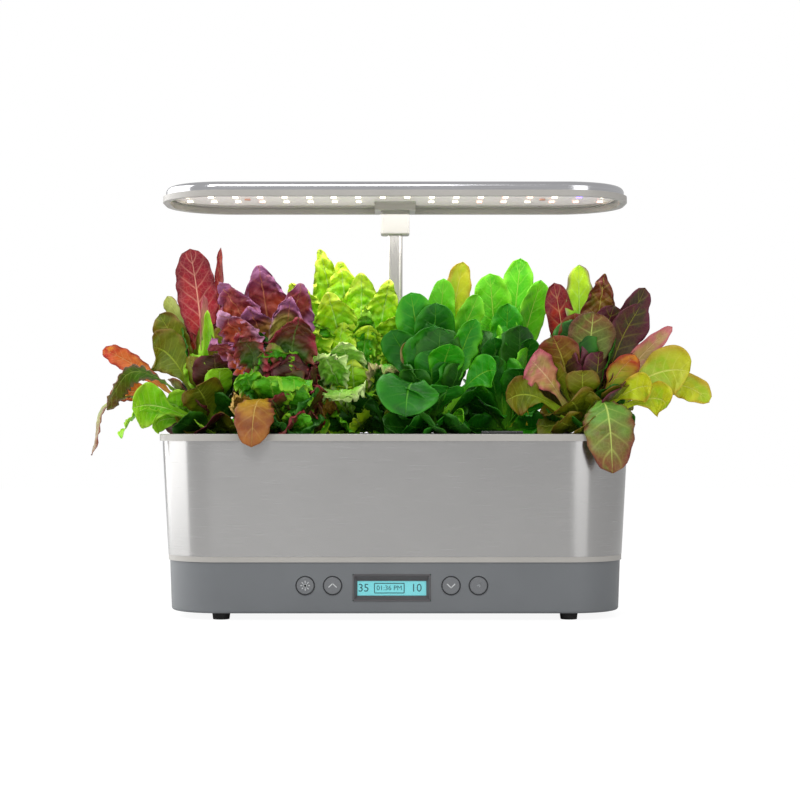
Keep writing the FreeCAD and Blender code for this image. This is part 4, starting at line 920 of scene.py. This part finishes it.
# %% Grow the six lettuces
# Each ring of a skirt: how many leaves, how far out and how high their tips are, the lift of their
# knees and their width. Each plant: its node, its finish and its outer leaves; the kind, tones, count,
# height, spread and width of the leaves of its heart; and the kind and tones of its skirt's leaves.
pod_pitch = 70.0
pod_row = 26.0
low_rings = ((14, 43.0, 2.0, 6.0, 34.0), (10, 43.0, 27.0, 16.0, 42.0), (8, 31.0, 78.0, 12.0, 42.0))
heart_turn, skirt_turn = 0.4, 0.9
first_seeds = {"leaves_of_": 1, "heart_of_": 51, "skirt_of_": 601}
plant_seeds = 100
# The darkest families in the hearts and skirts carry painted shade, where the outer leaves shade them.
plants = [
    ("red_romaine", "leaf_red", red_romaine,
     ("romaine", ("olive", "red_green", "heart_red", "lime"), 20, 112.0, 50.0, 26.0),
     ("broad", ("olive", "heart_green", "lime", "heart_red"))),
    ("red_leaf_lettuce", "leaf_purple", red_leaf,
     ("frilled", ("heart_red", "dark_red", "green"), 18, 122.0, 50.0, 38.0),
     ("curly", ("dark_red", "green", "heart_green"))),
    ("green_leaf_lettuce", "leaf_lime", green_leaf,
     ("frilled", ("citrus", "green"), 18, 134.0, 52.0, 38.0),
     ("curly", ("green", "citrus", "heart_green"))),
    ("butterhead_lettuce", "leaf_green", butterhead,
     ("round", ("heart_green", "deep_green"), 20, 112.0, 46.0, 34.0),
     ("broad", ("heart_green", "deep_green"))),
    ("green_romaine", "leaf_bright", green_romaine,
     ("romaine", ("emerald", "deep_green", "bright"), 20, 122.0, 46.0, 30.0),
     ("broad", ("heart_green", "deep_green", "emerald"))),
    ("bronze_lettuce", "leaf_bronze", bronze,
     ("round", ("olive", "dark_bronze", "bronze"), 22, 112.0, 50.0, 30.0),
     ("broad", ("heart_green", "olive", "dark_bronze"))),
]
for k, (node, slot, outer, middle, low) in enumerate(plants):
    place = ((k - 2.5) * pod_pitch, pod_row if k % 2 == 0 else -pod_row)
    grown = {"leaves_of_": outer, "heart_of_": heart(place, *middle, first_turn=heart_turn + k),
             "skirt_of_": skirt(place, *low, low_rings, first_turn=skirt_turn * k)}
    for name, leaves in grown.items():
        first_seed = first_seeds[name] + plant_seeds * k
        grow_leaves(name + node, node, slot, place, leaves, first_seed)

# %% [markdown]
# The display shows a number, a clock in a box and a second number in dark teal. The figures are text
# made into flat mesh, which lies between the panel and the window. The window touches the panel, and
# two faces in one place can't be told apart in a render, so the window is shown a little thinner and
# the figures lie in the gap.

# %% Display figures
figure_deep = 0.1 * MM
glass_gap = 0.3 * MM
display_low, display_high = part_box("display_window")
panel_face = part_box("display_module")[0].y
figure_y = panel_face - glass_gap / 2


def printed(name, colour, dark, light, fineness, roughness):
    """An ink or a paint with a faint grain."""
    finish = Finish(name, colour, Roughness=roughness)
    finish.feed("Base Color", finish.shades(finish.grain(fineness), dark, light))
    return finish.material


ink = printed("display_ink", (20, 84, 92), (14, 76, 84), (28, 92, 98), 400.0, 0.5)
window = nodes["display_window"].data.copy()
for vert in window.vertices:
    if vert.co.y > (display_low.y + display_high.y) / 2:
        vert.co.y -= glass_gap
thin_window = placed("thin_window", window)
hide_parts("display_window")
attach(thin_window, "planter")


def thin_plate(name, mesh, paint, body):
    """A finished flat mesh as a piece of its own, riding on a body."""
    mesh.name = name
    plate = placed(name, mesh)
    mesh.materials.clear()
    mesh.materials.append(paint)
    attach(plate, body)


def figures(name, words, x, z, height):
    """A word as a thin plate in front of the panel, its middle at x and z."""
    curve = bpy.data.curves.new(name, "FONT")
    curve.body = words
    curve.align_x = "CENTER"
    curve.align_y = "CENTER"
    curve.size = height
    curve.extrude = figure_deep / 2
    made = placed(name + "_outline", curve)
    bpy.context.view_layer.update()
    mesh = bpy.data.meshes.new_from_object(made.evaluated_get(bpy.context.evaluated_depsgraph_get()))
    bpy.data.objects.remove(made)
    mesh.transform(Matrix.Translation((x, figure_y, z)) @ upright)
    thin_plate(name, mesh, ink, "planter")


def bars(name, strokes, centre, paint, body):
    """Straight strokes as thin bars: each has two ends and a width, in millimetres from the centre."""
    mesh = bpy.data.meshes.new(name)
    form = bmesh.new()
    for x0, z0, x1, z1, thick in strokes:
        run = Vector((x1 - x0, 0, z1 - z0))
        turn = Matrix.Rotation(-math.atan2(run.z, run.x), 4, "Y")
        middle = Vector(((x0 + x1) / 2, 0, (z0 + z1) / 2)) * MM
        size = Matrix.Diagonal((run.length * MM, figure_deep, thick * MM, 1.0))
        bmesh.ops.create_cube(form, size=1.0, matrix=Matrix.Translation(centre + middle) @ turn @ size)
    form.to_mesh(mesh)
    form.free()
    thin_plate(name, mesh, paint, body)


display_x = (display_low.x + display_high.x) / 2
display_z = (display_low.z + display_high.z) / 2
days_x, clock_x, hours_x = display_x - 25.9 * MM, display_x - 2.3 * MM, display_x + 22.5 * MM
large, small = 10.2 * MM, 6.2 * MM
figures("days_figure", "35", days_x, display_z, large)
figures("clock_figure", "01:36 PM", clock_x, display_z, small)
figures("hours_figure", "10", hours_x, display_z, large)
box_x, box_z, box_line = 13.6, 4.4, 0.8
bars("clock_box", [(-box_x, box_z, box_x, box_z, box_line), (-box_x, -box_z, box_x, -box_z, box_line),
                   (-box_x, -box_z, -box_x, box_z, box_line), (box_x, -box_z, box_x, box_z, box_line)],
     Vector((clock_x, figure_y, display_z)), ink, "planter")
print("figures at", round(display_x, 4), round(display_z, 4))

# %% [markdown]
# The buttons carry small pale signs: a sun, a chevron up, a chevron down and a faint wedge. Each sign
# is drawn in straight strokes and is a thin plate that rides on its own button.

# %% Signs on the buttons
def spokes(count, inner, outer, thick):
    """Strokes from one radius to another, one every 45 degrees."""
    turns = [math.radians(45 * k) for k in range(count)]
    return [(inner * math.cos(t), inner * math.sin(t), outer * math.cos(t), outer * math.sin(t), thick)
            for t in turns]


sign_paint = printed("sign_paint", (196, 198, 198), (184, 187, 188), (208, 210, 210), 700.0, 0.45)
faint_paint = printed("faint_paint", (140, 143, 145), (132, 135, 137), (148, 151, 153), 700.0, 0.45)
sun = spokes(8, 2.6, 4.4, 0.7) + spokes(4, -1.6, 1.6, 1.3)
chevron = [(-3.7, -1.6, 0.25, 2.2, 0.9), (3.7, -1.6, -0.25, 2.2, 0.9)]
down_chevron = [(x0, -z0, x1, -z1, thick) for x0, z0, x1, z1, thick in chevron]
wedge = [(-1.4, -0.2, 2.6, 1.6, 0.9), (0.8, -1.4, 2.2, 1.8, 0.8)]
signs = [
    ("light_sign", "light_button", "light_key", sun, sign_paint),
    ("up_sign", "up_button", "up_key", chevron, sign_paint),
    ("down_sign", "down_button", "down_key", down_chevron, sign_paint),
    ("outlet_sign", "outlet_button", "outlet_key", wedge, faint_paint),
]
for name, node, body, strokes, paint in signs:
    low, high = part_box(node)
    face = Vector(((low.x + high.x) / 2, low.y - figure_deep / 2, (low.z + high.z) / 2))
    bars(name, strokes, face, paint, body)
print("signs", len(signs))

# %% [markdown]
# A plain pale floor and soft light: one large lamp from the left, one from the right, one from the
# front and above, a weak one under the hood for the grow light, and a white surround. The floor and
# the surround are whiter to the camera than to the object, which keeps the background clean without
# flooding the object with light.

# %% Floor
floor_reach = 4.0
floor_glow = 1.15
floor_glow_share = 0.8
floor_mesh = bpy.data.meshes.new("floor")
floor_form = bmesh.new()
bmesh.ops.create_grid(floor_form, x_segments=1, y_segments=1, size=floor_reach)
floor_form.to_mesh(floor_mesh)
floor_form.free()
floor = placed("floor", floor_mesh)
paper = Finish("floor_paper", (236, 236, 236), Roughness=0.9)
glow = paper.tree.nodes.new("ShaderNodeEmission")
glow.inputs["Color"].default_value = (1, 1, 1, 1)
glow.inputs["Strength"].default_value = floor_glow
seen = paper.node("ShaderNodeLightPath", output="Is Camera Ray") * floor_glow_share
paper.mix_shaders(seen, paper.shader, glow)
floor_mesh.materials.append(paper.material)
print("floor laid")

# %% Surround
surround_light = 0.55
surround_more_for_camera = 0.45
world = bpy.data.worlds.new("studio")
bpy.context.scene.world = world
world.use_nodes = True
surround = world.node_tree.nodes["Background"]
rays = world.node_tree.nodes.new("ShaderNodeLightPath")
strength = world.node_tree.nodes.new("ShaderNodeMath")
strength.operation = "MULTIPLY_ADD"
strength.inputs[1].default_value = surround_more_for_camera
strength.inputs[2].default_value = surround_light
surround.inputs["Color"].default_value = (1, 1, 1, 1)
world.node_tree.links.new(rays.outputs["Is Camera Ray"], strength.inputs[0])
world.node_tree.links.new(strength.outputs[0], surround.inputs["Strength"])
print("surround ready")

# %% Lamps
def soft_lamp(name, place, target, size, power):
    """A rectangular lamp at a place, turned to a target, its power in watts."""
    data = bpy.data.lights.new(name, "AREA")
    data.shape = "RECTANGLE"
    data.size, data.size_y = size
    data.energy = power
    lamp = placed(name, data)
    aim = (Vector(target) - Vector(place)).to_track_quat("-Z", "Y")
    lamp.matrix_world = Matrix.Translation(place) @ aim.to_matrix().to_4x4()


soft_lamp("left_softbox", (-1.3, 0.55, 0.5), (0, 0.55, 0.3), (2.0, 1.6), 24.0)
soft_lamp("right_softbox", (0.95, -1.5, 0.6), (0, 0, 0.25), (0.8, 1.2), 5.0)
soft_lamp("front_softbox", (-0.5, -1.7, 1.5), (0, 0, 0.2), (1.2, 0.8), 16.0)
soft_lamp("grow_light", (0, 0, 0.384), (0, 0, 0), (0.38, 0.1), 0.45)
print("lamps lit")
